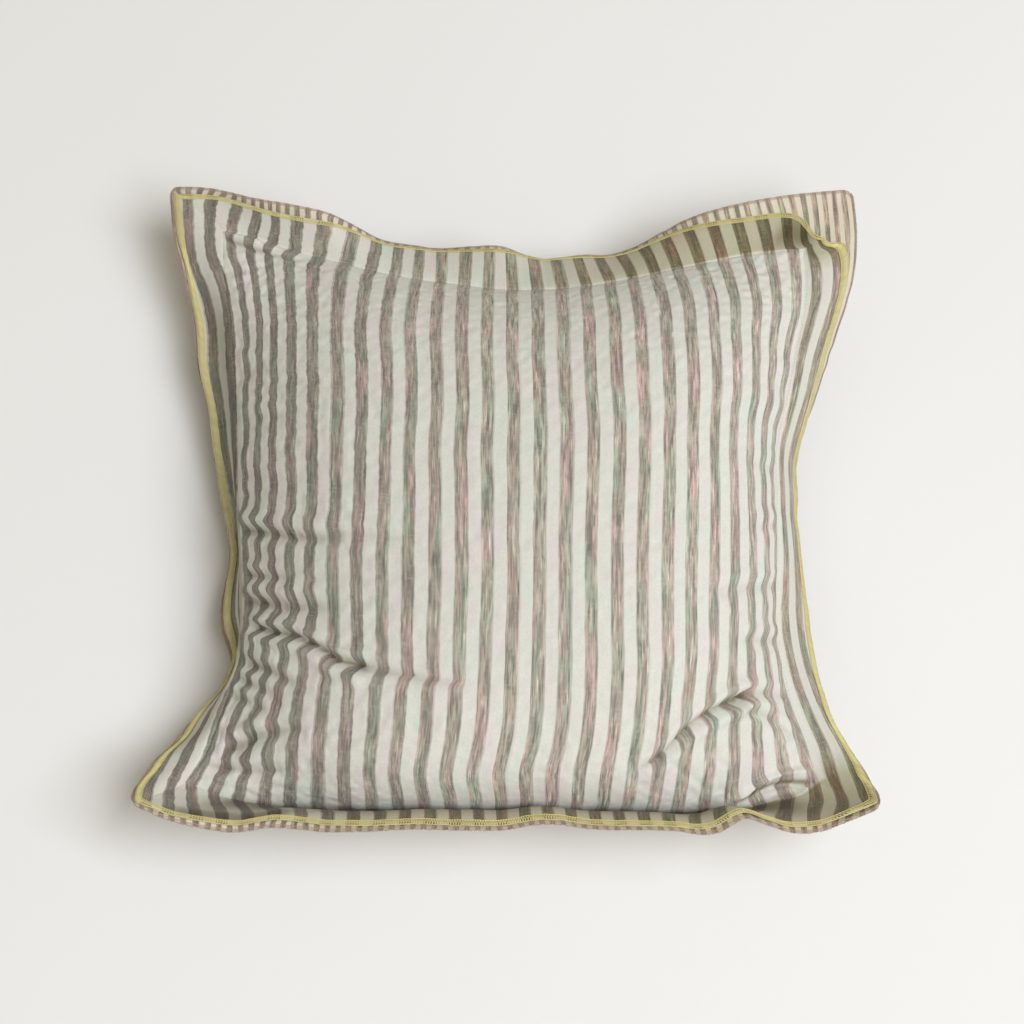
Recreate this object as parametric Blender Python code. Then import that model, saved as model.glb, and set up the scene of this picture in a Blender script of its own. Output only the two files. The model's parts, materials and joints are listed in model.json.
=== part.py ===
"""Square throw pillow with a flat flange all round, lying on its back.

The filled body is one solid between its four sewn sides. Outside the seam the front and back
panels run on as two loose flanges, the back one a little wider, each with an overlocked edge.
Metres, +Z up: +X is the pillow's right, +Y its top edge and +Z the way its front faces. The
origin is the middle of the underside, on the flat spot that the pillow rests on.
"""
import bpy
import numpy as np

# Cloth sizes
SEAM_SIDE = 0.440        # one side of the sewn square, measured flat
FLANGE_WIDTH = 0.042     # back panel's cloth from the seam to its raw edge
CLOTH = 0.0012           # thickness of one panel
GAP = 0.0003             # air between neighbouring pieces
FRONT_EDGING = 0.0045    # width of the overlocked edge of the front panel
FRONT_EDGING_RISE = 0.0018
BACK_EDGING = 0.0025     # width of the overlocked edge of the back panel
BACK_EDGING_RISE = 0.0018

# Filling
FRONT_CROWN = 0.080      # height of the front over the seam
BACK_DEPTH = 0.066       # depth of the back under the seam, down to the flat spot
FLAT_SHARE = 0.80        # share of the back's full height at which it meets the surface
BACK_ROUND = 1.4         # how round the back runs into the flat spot
SQUEEZE = 1.4            # how fast the filled middle draws the cloth in

# Slope of the cloth where it leaves the seam, in degrees, for each side of each face
FRONT_SLOPES = {"left": 62.0, "right": 74.0, "bottom": 98.0, "top": 66.0}
BACK_SLOPES = {"left": 70.0, "right": 70.0, "bottom": 70.0, "top": 70.0}
SLOPE_POWER = 2.0        # slope grows from the crown with this power of the distance

# Mesh steps
STEPS = 40               # cells along each side of the sewn square
FINE = 400               # samples used to measure a side's length
ROOT = 0.0008            # distance of a flange's root from the seam
BEND_POWER = 1.35        # a flange leaves the seam level, then bends to its lean
TUCK_SPAN = 0.020        # stretch of edge that a tucked corner takes along
CORNER_POWER = 5.0       # how soon a side's own lean takes over from its corners'

# Corners: seam point, reach of the back flange's corner from it, tuck of the front flange's corner
CORNERS = {
    "top_left": {"seam": (-0.217, 0.228, 0.002), "reach": (-0.039, 0.033, 0.006), "tuck": (0.0, 0.0)},
    "top_right": {"seam": (0.218, 0.213, 0.000), "reach": (0.037, 0.045, 0.010), "tuck": (-0.014, -0.028)},
    "bottom_right": {"seam": (0.208, -0.200, 0.000), "reach": (0.038, -0.025, 0.030), "tuck": (0.0, 0.0)},
    "bottom_left": {"seam": (-0.222, -0.200, 0.000), "reach": (-0.031, -0.024, 0.032), "tuck": (0.0, 0.0)},
}

# Sides, clockwise as seen from the front. Columns: place along the side, where the seam is
# drawn in to, lean of the flange out of the seam's plane in degrees (+ towards the front),
# and how far the front panel's edge stays inside the back panel's edge.
TOP_SIDE = [
    (-0.192, 0.222, 16, 0.006),
    (-0.160, 0.210, 24, 0.008),
    (-0.128, 0.201, 22, 0.009),
    (-0.108, 0.195, 3, 0.008),
    (-0.088, 0.190, -15, 0.007),
    (-0.066, 0.186, -20, 0.006),
    (-0.036, 0.182, -20, 0.005),
    (-0.006, 0.178, -10, 0.005),
    (0.020, 0.178, -28, 0.004),
    (0.048, 0.180, -28, 0.005),
    (0.080, 0.186, -29, 0.007),
    (0.104, 0.191, -10, 0.008),
    (0.140, 0.200, 20, 0.010),
    (0.175, 0.208, 21, 0.012),
]
RIGHT_SIDE = [
    (0.190, 0.218, 2, 0.008),
    (0.165, 0.216, -12, 0.007),
    (0.129, 0.208, -34, 0.007),
    (0.088, 0.199, -50, 0.006),
    (0.048, 0.190, -64, 0.004),
    (0.009, 0.189, -64, 0.004),
    (-0.040, 0.187, -59, 0.004),
    (-0.085, 0.185, -49, 0.005),
    (-0.115, 0.187, -41, 0.007),
    (-0.145, 0.192, -28, 0.007),
    (-0.170, 0.198, -9, 0.007),
    (-0.186, 0.202, 10, 0.007),
]
BOTTOM_SIDE = [
    (0.197, -0.208, 36, 0.008),
    (0.180, -0.213, 31, 0.008),
    (0.166, -0.217, 36, 0.008),
    (0.150, -0.220, 52, 0.008),
    (0.136, -0.221, 63, 0.008),
    (0.118, -0.222, 51, 0.008),
    (0.092, -0.222, 56, 0.008),
    (0.052, -0.222, 59, 0.008),
    (0.017, -0.221, 63, 0.008),
    (-0.010, -0.221, 58, 0.008),
    (-0.067, -0.221, 58, 0.008),
    (-0.110, -0.220, 53, 0.008),
    (-0.142, -0.218, 53, 0.008),
    (-0.168, -0.216, 43, 0.009),
    (-0.192, -0.212, 44, 0.010),
]
LEFT_SIDE = [
    (-0.182, -0.211, 12, 0.008),
    (-0.166, -0.205, -4, 0.008),
    (-0.151, -0.200, -28, 0.008),
    (-0.140, -0.197, -37, 0.008),
    (-0.130, -0.194, -47, 0.008),
    (-0.112, -0.190, -67, 0.006),
    (-0.092, -0.189, -78, 0.007),
    (-0.067, -0.188, -63, 0.009),
    (-0.015, -0.193, -76, 0.006),
    (0.020, -0.196, -68, 0.005),
    (0.060, -0.198, -57, 0.004),
    (0.086, -0.200, -51, 0.005),
    (0.106, -0.202, -42, 0.006),
    (0.150, -0.207, -34, 0.007),
    (0.168, -0.210, -24, 0.008),
    (0.190, -0.214, -12, 0.008),
]
CORNER_LEAN = {"top": (6, 14), "right": (14, 30), "bottom": (30, 44), "left": (44, 6)}
CORNER_MARGIN = {"top": (0.007, 0.010), "right": (0.010, 0.008), "bottom": (0.008, 0.009),
                 "left": (0.009, 0.007)}

# Way out of each side of the sewn square, and how far a flange turns from it with its own seam
OUTWARD = {"top": (0.0, 1.0, 0.0), "right": (1.0, 0.0, 0.0), "bottom": (0.0, -1.0, 0.0),
           "left": (-1.0, 0.0, 0.0)}
FAN = {"top": 1.0, "right": 0.5, "bottom": 0.4, "left": 0.2}

# Folds of the front. Columns: start x, y and end x, y of the trough, its depth, its half width,
# and the height of the soft ridge that the cloth makes above it.
FOLDS = [
    (-0.176, -0.106, -0.116, -0.135, 0.0060, 0.011, 0.0035),
    (-0.116, -0.135, -0.019, -0.155, 0.0050, 0.012, 0.0030),
    (-0.185, -0.036, -0.132, -0.038, 0.0040, 0.009, 0.0030),
    (-0.186, -0.088, -0.148, -0.090, 0.0040, 0.009, 0.0030),
    (-0.119, -0.023, -0.078, -0.023, 0.0020, 0.009, 0.0015),
    (0.085, -0.193, 0.133, -0.162, 0.0055, 0.010, 0.0035),
    (0.133, -0.162, 0.190, -0.155, 0.0065, 0.010, 0.0040),
    (0.156, -0.212, 0.205, -0.192, 0.0070, 0.009, 0.0050),
    (0.160, 0.036, 0.190, 0.036, 0.0035, 0.012, 0.0020),
    (-0.205, 0.214, -0.150, 0.176, 0.0035, 0.010, 0.0030),
    (0.150, 0.190, 0.205, 0.206, 0.0030, 0.010, 0.0020),
]

COLOURS = {
    "cushion_body": (0.62, 0.58, 0.51),
    "front_flange": (0.60, 0.56, 0.48),
    "back_flange": (0.48, 0.41, 0.35),
    "front_edging": (0.60, 0.60, 0.22),
    "back_edging": (0.42, 0.25, 0.24),
}
ROUGHNESS = 0.88


def clear_scene():
    for item in list(bpy.data.objects):
        bpy.data.objects.remove(item, do_unlink=True)


def smooth_through(stations, values, at):
    """Cubic through the stations, with each slope taken from its two neighbours."""
    stations, values, at = (np.asarray(a, dtype=float) for a in (stations, values, at))
    slopes = np.gradient(values, stations)
    cell = np.clip(np.searchsorted(stations, at) - 1, 0, len(stations) - 2)
    width = stations[cell + 1] - stations[cell]
    t = (at - stations[cell]) / width
    return ((2 * t**3 - 3 * t**2 + 1) * values[cell] + (t**3 - 2 * t**2 + t) * width * slopes[cell]
            + (3 * t**2 - 2 * t**3) * values[cell + 1] + (t**3 - t**2) * width * slopes[cell + 1])


def side_curve(name, rows, start, end):
    """Seam, lean and margin of one side, at STEPS + 1 places equally far apart along the cloth."""
    first, last = CORNERS[start]["seam"], CORNERS[end]["seam"]
    upright = name in ("left", "right")
    main, cross = (1, 0) if upright else (0, 1)
    along = [first[main]] + [row[0] for row in rows] + [last[main]]
    drawn = [first[cross]] + [row[1] for row in rows] + [last[cross]]
    lean = [CORNER_LEAN[name][0]] + [row[2] for row in rows] + [CORNER_LEAN[name][1]]
    margin = [CORNER_MARGIN[name][0]] + [row[3] for row in rows] + [CORNER_MARGIN[name][1]]
    way = 1.0 if last[main] > first[main] else -1.0
    place = np.linspace(along[0], along[-1], FINE)
    keys = way * np.array(along)

    def column(values):
        return smooth_through(keys, values, way * place)

    points = np.zeros((FINE, 3))
    points[:, main] = place
    points[:, cross] = column(drawn)
    points[:, 2] = np.linspace(first[2], last[2], FINE)
    length = np.concatenate([[0.0], np.cumsum(np.linalg.norm(np.diff(points, axis=0), axis=1))])
    wanted = np.linspace(0.0, length[-1], STEPS + 1)
    seam = np.stack([np.interp(wanted, length, points[:, axis]) for axis in range(3)], axis=1)
    return {"seam": seam, "lean": np.interp(wanted, length, column(lean)),
            "margin": np.interp(wanted, length, column(margin))}


def all_sides():
    corners = list(CORNERS)
    named = [("top", TOP_SIDE), ("right", RIGHT_SIDE), ("bottom", BOTTOM_SIDE), ("left", LEFT_SIDE)]
    return {name: side_curve(name, rows, corners[i], corners[(i + 1) % 4])
            for i, (name, rows) in enumerate(named)}


def slope_profile(low_slope, high_slope):
    """Plan place and height across the filling, both as functions of the cloth place -1..1.

    The slope grows from 0 at the apex to its full value at each seam, and the apex is the place
    where both halves reach the same height.
    """
    cloth = np.linspace(-1.0, 1.0, 2 * FINE + 1)

    def run(apex):
        away = np.where(cloth < apex, (apex - cloth) / (1 + apex), (cloth - apex) / (1 - apex))
        slope = np.where(cloth < apex, low_slope, -high_slope) * away**SLOPE_POWER
        slope = np.radians(slope)
        step = cloth[1] - cloth[0]
        plan = np.concatenate([[0.0], np.cumsum((np.cos(slope[1:]) + np.cos(slope[:-1])) * step / 2)])
        rise = np.concatenate([[0.0], np.cumsum((np.sin(slope[1:]) + np.sin(slope[:-1])) * step / 2)])
        return plan, rise

    low, high = -0.6, 0.6
    for _ in range(40):
        apex = (low + high) / 2
        if run(apex)[1][-1] > 0:
            high = apex
        else:
            low = apex
    plan, rise = run(apex)
    return cloth, 2 * plan / plan[-1] - 1, np.clip(rise / rise.max(), 0.0, 1.0)


def coons(sides, a, b):
    """Seam plane between the four sides; a and b may run a little past the sides."""
    t = np.linspace(-1.0, 1.0, STEPS + 1)

    def at(curve, place):
        return np.stack([np.interp(place, t, curve[:, axis]) for axis in range(3)], axis=-1)

    top, bottom = at(sides["top"]["seam"], a), at(sides["bottom"]["seam"][::-1], a)
    left, right = at(sides["left"]["seam"], b), at(sides["right"]["seam"][::-1], b)
    p, q = ((a + 1) / 2)[..., None], ((b + 1) / 2)[..., None]
    corner = {name: np.array(CORNERS[name]["seam"]) for name in CORNERS}
    lower = (1 - p) * corner["bottom_left"] + p * corner["bottom_right"]
    upper = (1 - p) * corner["top_left"] + p * corner["top_right"]
    return (1 - q) * bottom + q * top + (1 - p) * left + p * right - (1 - q) * lower - q * upper


def face_points(sides, slopes, u, v):
    """Seam-plane places under a filled face and its height as a share of the crown."""
    cloth, plan_u, height_u = slope_profile(slopes["left"], slopes["right"])
    _, plan_v, height_v = slope_profile(slopes["bottom"], slopes["top"])
    full_u, full_v = np.interp(u, cloth, height_u), np.interp(v, cloth, height_v)
    a = u + full_v**SQUEEZE * (np.interp(u, cloth, plan_u) - u)
    b = v + full_u**SQUEEZE * (np.interp(v, cloth, plan_v) - v)
    return coons(sides, a, b), full_u * full_v


def fold_relief(x, y):
    """Soft troughs along the folds, each with a low ridge on its upper side."""
    relief = np.zeros_like(x)
    for x0, y0, x1, y1, depth, width, ridge in FOLDS:
        run = np.array([x1 - x0, y1 - y0])
        length = np.hypot(*run)
        along = ((x - x0) * run[0] + (y - y0) * run[1]) / length**2
        across = ((y - y0) * run[0] - (x - x0) * run[1]) / length
        beyond = np.clip(np.maximum(-along, along - 1) * length / width, 0.0, None)
        taper = np.exp(-beyond**2)
        relief -= depth * taper * np.exp(-(across / width)**2)
        relief += ridge * taper * np.exp(-((across - 1.6 * width) / width)**2)
    return relief


def body_mesh(sides):
    """Front and back grids that share their rim on the seam."""
    t = np.linspace(-1.0, 1.0, STEPS + 1)
    u, v = np.meshgrid(t, t, indexing="ij")
    front, front_full = face_points(sides, FRONT_SLOPES, u, v)
    back, back_full = face_points(sides, BACK_SLOPES, u, v)
    front[..., 2] += FRONT_CROWN * front_full
    hold = np.clip(front_full / 0.25, 0.0, 1.0)
    front[..., 2] += hold * fold_relief(front[..., 0], front[..., 1])
    sunk = 1 - (1 - np.clip(back_full / FLAT_SHARE, 0.0, 1.0))**BACK_ROUND
    back[..., 2] = back[..., 2] * (1 - sunk) - BACK_DEPTH * sunk

    index = np.arange((STEPS + 1)**2).reshape(STEPS + 1, STEPS + 1)
    inner = (slice(1, STEPS), slice(1, STEPS))
    back_index = index.copy()
    back_index[inner] = index.size + np.arange((STEPS - 1)**2).reshape(STEPS - 1, STEPS - 1)
    points = np.concatenate([front.reshape(-1, 3), back[inner].reshape(-1, 3)])

    def quads(grid):
        return np.stack([grid[:-1, :-1], grid[1:, :-1], grid[1:, 1:], grid[:-1, 1:]], axis=-1).reshape(-1, 4)

    faces = np.concatenate([quads(index), quads(back_index)[:, ::-1]])
    return points, faces


def rim_curves(sides):
    """Closed loops round the pillow, clockwise: seam, back edge, front edge's share of the width."""
    seam, edge, share, tuck = [], [], [], []
    corners = list(CORNERS)
    for i, (name, side) in enumerate(sides.items()):
        start, end = CORNERS[corners[i]], CORNERS[corners[(i + 1) % 4]]
        line = side["seam"]
        along = np.gradient(line, axis=0)
        outward = np.stack([-along[:, 1], along[:, 0], np.zeros(STEPS + 1)], axis=1)
        outward /= np.linalg.norm(outward, axis=1)[:, None]
        outward = FAN[name] * outward + (1 - FAN[name]) * np.array(OUTWARD[name])
        outward /= np.linalg.norm(outward, axis=1)[:, None]
        lean = np.radians(side["lean"])[:, None]
        reach = FLANGE_WIDTH * (np.cos(lean) * outward + np.sin(lean) * np.array([0.0, 0.0, 1.0]))
        t = np.linspace(0.0, 1.0, STEPS + 1)[:, None]
        chord = (line[-1] - line[0]) / np.linalg.norm(line[-1] - line[0])
        for miss, weight in ((np.array(start["reach"]) - reach[0], 1 - t),
                             (np.array(end["reach"]) - reach[-1], t)):
            lengthwise = chord * (miss @ chord)
            reach = reach + weight * lengthwise + weight**CORNER_POWER * (miss - lengthwise)
        distance = t * SEAM_SIDE
        pull_start = np.exp(-(distance / TUCK_SPAN)**2) * np.array([*start["tuck"], 0.0])
        pull_end = np.exp(-((SEAM_SIDE - distance) / TUCK_SPAN)**2) * np.array([*end["tuck"], 0.0])
        seam.append(line[:-1])
        edge.append((line + reach)[:-1])
        share.append(1 - side["margin"][:-1] / FLANGE_WIDTH)
        tuck.append((pull_start + pull_end)[:-1])
    return (np.concatenate(part) for part in (seam, edge, share, tuck))


def flange_point(seam, edge, share, tuck, front_share):
    """Point of the flange at a share of its width; it leaves the seam level and bends outwards."""
    share = np.broadcast_to(share, len(seam))[:, None]
    level = seam + (edge - seam) * np.array([1.0, 1.0, 0.0]) * share
    rise = (edge - seam) * np.array([0.0, 0.0, 1.0]) * share**BEND_POWER
    pull = tuck * np.clip(share / front_share[:, None], 0.0, 1.0)
    pull = pull * np.clip((1 - share) / (1 - front_share[:, None]), 0.0, 1.0)
    return level + rise + pull


def loop_normals(loops):
    """Normals of the flange at each of its loops; the root loop stays level with the seam."""
    stack = np.stack(loops)
    around = np.roll(stack, -1, axis=1) - np.roll(stack, 1, axis=1)
    outward = np.gradient(stack, axis=0)
    normal = np.cross(around, outward)
    normal /= np.linalg.norm(normal, axis=2)[..., None]
    normal[0] = np.array([0.0, 0.0, 1.0])
    return normal


def ring_mesh(upper, lower):
    """Closed band between an upper and a lower stack of loops, from its inner to its outer edge."""
    count = upper[0].shape[0]
    points = np.concatenate(list(upper) + list(lower))
    rows = len(upper)
    base = np.arange(count)
    after = np.roll(base, -1)
    faces = []

    def strip(inner, outer, flip):
        a, b = inner * count + base, outer * count + base
        c, d = outer * count + after, inner * count + after
        for corner in ((a, b, c), (a, c, d)):
            triangle = np.stack(corner, axis=1)
            faces.append(triangle[:, ::-1] if flip else triangle)

    for row in range(rows - 1):
        strip(row, row + 1, True)
        strip(rows + row, rows + row + 1, False)
    strip(0, rows, False)
    strip(rows - 1, 2 * rows - 1, True)
    return points, np.concatenate(faces)


def make_material(name, colour):
    material = bpy.data.materials.new(name)
    material.use_nodes = True
    shader = material.node_tree.nodes["Principled BSDF"]
    shader.inputs["Base Color"].default_value = (*colour, 1.0)
    shader.inputs["Roughness"].default_value = ROUGHNESS
    shader.inputs["Metallic"].default_value = 0.0
    return material


def make_object(name, points, faces, shift):
    mesh = bpy.data.meshes.new(name)
    mesh.from_pydata((points + shift).tolist(), [], faces.tolist())
    mesh.validate()
    mesh.shade_smooth()
    mesh.materials.append(make_material(name, COLOURS[name]))
    item = bpy.data.objects.new(name, mesh)
    bpy.context.scene.collection.objects.link(item)
    return item


def flange_meshes(sides):
    """Front and back flanges and their overlocked edges, all on one bent surface."""
    seam, edge, front_share, tuck = rim_curves(sides)
    width = FLANGE_WIDTH
    front_cloth = front_share - FRONT_EDGING / width
    back_cloth = np.full(len(seam), 1 - BACK_EDGING / width)
    root = np.full(len(seam), ROOT / width)
    shares = [root, front_cloth / 2, front_cloth, front_share, back_cloth, np.ones(len(seam))]
    loops = [flange_point(seam, edge, share, tuck, front_share) for share in shares]
    normals = loop_normals(loops)
    middle = (CLOTH + GAP) / 2

    def lifted(row, height):
        return loops[row] + normals[row] * height

    def inset(row, height):
        """Loop that stands a gap outside the loop before the edging."""
        step = loops[row + 1] - loops[row]
        length = np.linalg.norm(step, axis=1)[:, None]
        normal = normals[row] + (normals[row + 1] - normals[row]) * GAP / length
        return loops[row] + step * GAP / length + normal * height

    front_low, front_high = middle - CLOTH / 2, middle + CLOTH / 2
    back_low, back_high = -middle - CLOTH / 2, -middle + CLOTH / 2
    front_top = front_low + FRONT_EDGING_RISE
    back_bottom = back_high - BACK_EDGING_RISE
    return {
        "front_flange": ring_mesh([lifted(r, front_high) for r in range(3)],
                                  [lifted(r, front_low) for r in range(3)]),
        "front_edging": ring_mesh([inset(2, front_top), lifted(3, front_top)],
                                  [inset(2, front_low), lifted(3, front_low)]),
        "back_flange": ring_mesh([lifted(r, back_high) for r in range(5)],
                                 [lifted(r, back_low) for r in range(5)]),
        "back_edging": ring_mesh([inset(4, back_high), lifted(5, back_high)],
                                 [inset(4, back_bottom), lifted(5, back_bottom)]),
    }


def build_pillow():
    clear_scene()
    sides = all_sides()
    meshes = {"cushion_body": body_mesh(sides), **flange_meshes(sides)}
    everything = np.concatenate([points for points, _ in meshes.values()])
    low, high = everything.min(axis=0), everything.max(axis=0)
    shift = np.array([-(low[0] + high[0]) / 2, -(low[1] + high[1]) / 2, -low[2]])
    for name, (points, faces) in meshes.items():
        make_object(name, points, faces, shift)


build_pillow()
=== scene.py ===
# Looks of the square throw pillow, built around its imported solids.
# Metres. The pillow lies on its back: +X is its right, +Y its top edge, +Z the way its front faces.
import json
import bpy
import numpy as np
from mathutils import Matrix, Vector

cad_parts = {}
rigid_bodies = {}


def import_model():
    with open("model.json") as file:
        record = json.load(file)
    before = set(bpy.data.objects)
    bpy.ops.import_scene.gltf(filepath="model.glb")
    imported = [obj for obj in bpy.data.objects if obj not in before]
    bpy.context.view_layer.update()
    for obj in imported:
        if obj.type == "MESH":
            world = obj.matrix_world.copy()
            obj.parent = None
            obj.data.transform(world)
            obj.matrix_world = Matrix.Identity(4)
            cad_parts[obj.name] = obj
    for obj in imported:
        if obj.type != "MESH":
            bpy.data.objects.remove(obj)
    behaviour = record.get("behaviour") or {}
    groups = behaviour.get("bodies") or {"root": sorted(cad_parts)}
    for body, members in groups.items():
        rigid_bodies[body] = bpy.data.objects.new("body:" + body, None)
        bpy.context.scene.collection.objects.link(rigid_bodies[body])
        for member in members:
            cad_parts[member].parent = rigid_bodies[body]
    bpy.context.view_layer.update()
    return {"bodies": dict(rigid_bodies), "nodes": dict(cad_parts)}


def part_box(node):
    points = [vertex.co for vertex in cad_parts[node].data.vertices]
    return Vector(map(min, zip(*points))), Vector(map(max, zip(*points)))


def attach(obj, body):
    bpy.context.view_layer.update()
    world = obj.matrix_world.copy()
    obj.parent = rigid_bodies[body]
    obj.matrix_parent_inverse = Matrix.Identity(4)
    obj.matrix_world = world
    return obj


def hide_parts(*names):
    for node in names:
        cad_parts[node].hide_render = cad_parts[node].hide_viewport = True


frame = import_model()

rootBody = list(frame["bodies"])[0]
scene = bpy.context.scene
print("frame loaded:", ", ".join(sorted(frame["nodes"])))

# Cloth, filling and grids, measured on the panels lying flat
pillow = {
    "seamSide": 0.440,        # one side of the sewn square
    "flangeWidth": 0.042,     # back panel's cloth outside the seam
    "cloth": 0.0012,          # thickness of one panel
    "gap": 0.0003,            # air between the two flanges
    "frontCrown": 0.080,
    "backDepth": 0.066,
    "squeeze": 1.4,           # how fast the filled middle draws the cloth in
    "slopePower": 2.0,        # slope grows from the crown with this power of the distance
    "frontSlopes": {"left": 62.0, "right": 74.0, "bottom": 104.0, "top": 66.0},  # degrees at the seam
    "backSlopes": {"left": 70.0, "right": 70.0, "bottom": 70.0, "top": 70.0},
    "bendPower": 1.35,        # a flange leaves the seam level, then bends to its lean
    "cornerPower": 5.0,       # how soon a side's own lean takes over from its corners'
    "tuckSpan": 0.020,        # stretch of edge that a tucked corner takes along
    "cells": 220,             # cells of the finished grid along a side
    "grading": 0.35,          # how much finer the grid is at the seam than in the middle
}

# Corners: seam point, reach of the back flange's corner, tuck of the front flange's corner
corners = {
    "topLeft": {"seam": (-0.217, 0.228, 0.002), "reach": (-0.039, 0.033, 0.006), "tuck": (0.0, 0.0)},
    "topRight": {"seam": (0.218, 0.213, 0.000), "reach": (0.037, 0.045, 0.010), "tuck": (-0.014, -0.028)},
    "bottomRight": {"seam": (0.208, -0.200, 0.000), "reach": (0.038, -0.025, 0.030), "tuck": (0.0, 0.0)},
    "bottomLeft": {"seam": (-0.222, -0.200, 0.000), "reach": (-0.031, -0.024, 0.032), "tuck": (0.0, 0.0)},
}

# Sides, clockwise from the front. Row columns: place along the side, where the seam is drawn in
# to, lean of the flange in degrees (+ towards the front), front panel's edge inside the back's.
# Way is straight out of the side, and fan is how far the flange turns from it with its own seam.
# Hook: how high the flange arches over its chord, and how that turns and shortens the chord.
sides = {
    "top": {"from": "topLeft", "to": "topRight", "lean": (6, 14), "margin": (0.007, 0.01),
            "way": (0, 1, 0), "fan": 1.0, "hook": (0.0, 0, 0.0), "rows": [
        (-0.192, 0.222, 16, 0.006), (-0.160, 0.210, 24, 0.008), (-0.128, 0.201, 22, 0.009),
        (-0.108, 0.195, 3, 0.008), (-0.088, 0.190, -15, 0.007), (-0.066, 0.186, -20, 0.006),
        (-0.036, 0.182, -20, 0.005), (-0.006, 0.178, -10, 0.005), (0.020, 0.178, -28, 0.004),
        (0.048, 0.180, -28, 0.005), (0.080, 0.186, -29, 0.007), (0.104, 0.191, -10, 0.008),
        (0.140, 0.200, 20, 0.010), (0.175, 0.208, 21, 0.012)]},
    "right": {"from": "topRight", "to": "bottomRight", "lean": (14, 30), "margin": (0.01, 0.002),
            "way": (1, 0, 0), "fan": 0.5, "hook": (0.0, 0, 0.0), "rows": [
        (0.190, 0.218, 2, 0.008), (0.165, 0.216, -12, 0.007), (0.129, 0.208, -34, 0.007),
        (0.088, 0.199, -50, 0.006), (0.048, 0.190, -64, 0.004), (0.009, 0.189, -64, 0.003),
        (-0.040, 0.187, -59, 0.002), (-0.085, 0.185, -49, 0.002), (-0.115, 0.187, -41, 0.003),
        (-0.145, 0.192, -28, 0.003), (-0.170, 0.198, -9, 0.003), (-0.186, 0.202, 10, 0.003)]},
    "bottom": {"from": "bottomRight", "to": "bottomLeft", "lean": (30, 44), "margin": (0.002, 0.002),
            "way": (0, -1, 0), "fan": 0.4, "hook": (0.0076, -1.5, 0.0033), "rows": [
        (0.197, -0.208, 36, 0.003), (0.180, -0.213, 31, 0.004), (0.166, -0.217, 36, 0.004),
        (0.150, -0.220, 52, 0.003), (0.136, -0.221, 63, 0.003), (0.118, -0.222, 51, 0.003),
        (0.092, -0.222, 56, 0.002), (0.052, -0.222, 59, 0.002), (0.017, -0.221, 63, 0.002),
        (-0.010, -0.221, 58, 0.002), (-0.067, -0.221, 58, 0.002), (-0.110, -0.220, 53, 0.003),
        (-0.142, -0.218, 53, 0.004), (-0.168, -0.216, 43, 0.004), (-0.192, -0.212, 44, 0.004)]},
    "left": {"from": "bottomLeft", "to": "topLeft", "lean": (44, 6), "margin": (0.002, 0.004),
            "way": (-1, 0, 0), "fan": 0.2, "hook": (-0.0070, 2.6, 0.0036), "rows": [
        (-0.182, -0.211, 12, 0.003), (-0.166, -0.205, -4, 0.004), (-0.151, -0.200, -28, 0.005),
        (-0.140, -0.197, -37, 0.004), (-0.130, -0.194, -47, 0.003), (-0.112, -0.190, -67, 0.003),
        (-0.092, -0.189, -78, 0.003), (-0.067, -0.188, -63, 0.003), (-0.015, -0.193, -76, 0.002),
        (0.020, -0.196, -68, 0.001), (0.060, -0.198, -57, 0.001), (0.086, -0.200, -51, 0.001),
        (0.106, -0.202, -42, 0.001), (0.150, -0.207, -34, 0.002), (0.168, -0.210, -24, 0.003),
        (0.190, -0.214, -12, 0.004)]},
}
samples = 400                 # samples that measure one side
half = pillow["seamSide"] / 2

# Seam plane's place in the row frame: the corners of the seam are the filled body's outermost points
bodyLow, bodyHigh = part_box("cushion_body")
seamPlace = np.array([bodyLow[0] - corners["bottomLeft"]["seam"][0],
                      bodyHigh[1] - corners["topLeft"]["seam"][1], bodyLow[2] + pillow["backDepth"]])

# Camera at the photograph's angle to the pillow's face
camera = {
    "tilt": 23.0,             # degrees from the face's own normal towards the bottom edge
    "distance": 1.78,
    "lens": 87.9,
}


def addCamera():
    tilt = np.radians(camera["tilt"])
    lens = bpy.data.cameras.new("photoView")
    lens.lens = camera["lens"]
    lens.clip_start = 0.05
    item = bpy.data.objects.new("photoView", lens)
    scene.collection.objects.link(item)
    item.location = Vector(seamPlace) + camera["distance"] * Vector((0, -np.sin(tilt), np.cos(tilt)))
    item.rotation_euler = (tilt, 0, 0)
    scene.camera = item


addCamera()
print("camera set")


# Curves and noise
def smoothThrough(stations, values, at):
    # Cubic through the stations, each slope taken from its two neighbours
    stations, values, at = (np.asarray(a, dtype=float) for a in (stations, values, at))
    slopes = np.gradient(values, stations, axis=0)
    cell = np.clip(np.searchsorted(stations, at) - 1, 0, len(stations) - 2)
    width = stations[cell + 1] - stations[cell]
    t = (at - stations[cell]) / width
    if values.ndim > 1:
        shape = (-1,) + (1,) * (values.ndim - 1)
        t, width = t.reshape(shape), width.reshape(shape)
    return ((2 * t**3 - 3 * t**2 + 1) * values[cell] + (t**3 - 2 * t**2 + t) * width * slopes[cell]
            + (3 * t**2 - 2 * t**3) * values[cell + 1] + (t**3 - t**2) * width * slopes[cell + 1])


def between(at, stations, points, period=None):
    # Point of a curve, straight between its stations
    return np.stack([np.interp(at, stations, points[:, axis], period=period) for axis in range(3)], axis=-1)


def summed(steps):
    # Running total that starts at 0
    return np.concatenate([[0.0], np.cumsum(steps)])


def unit(vectors):
    # Each vector over its own length
    return vectors / np.maximum(np.linalg.norm(vectors, axis=-1, keepdims=True), 1e-12)


def faded(t):
    # Smooth step from 0 to 1
    t = np.clip(t, 0.0, 1.0)
    return t * t * t * (t * (6 * t - 15) + 10)


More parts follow.
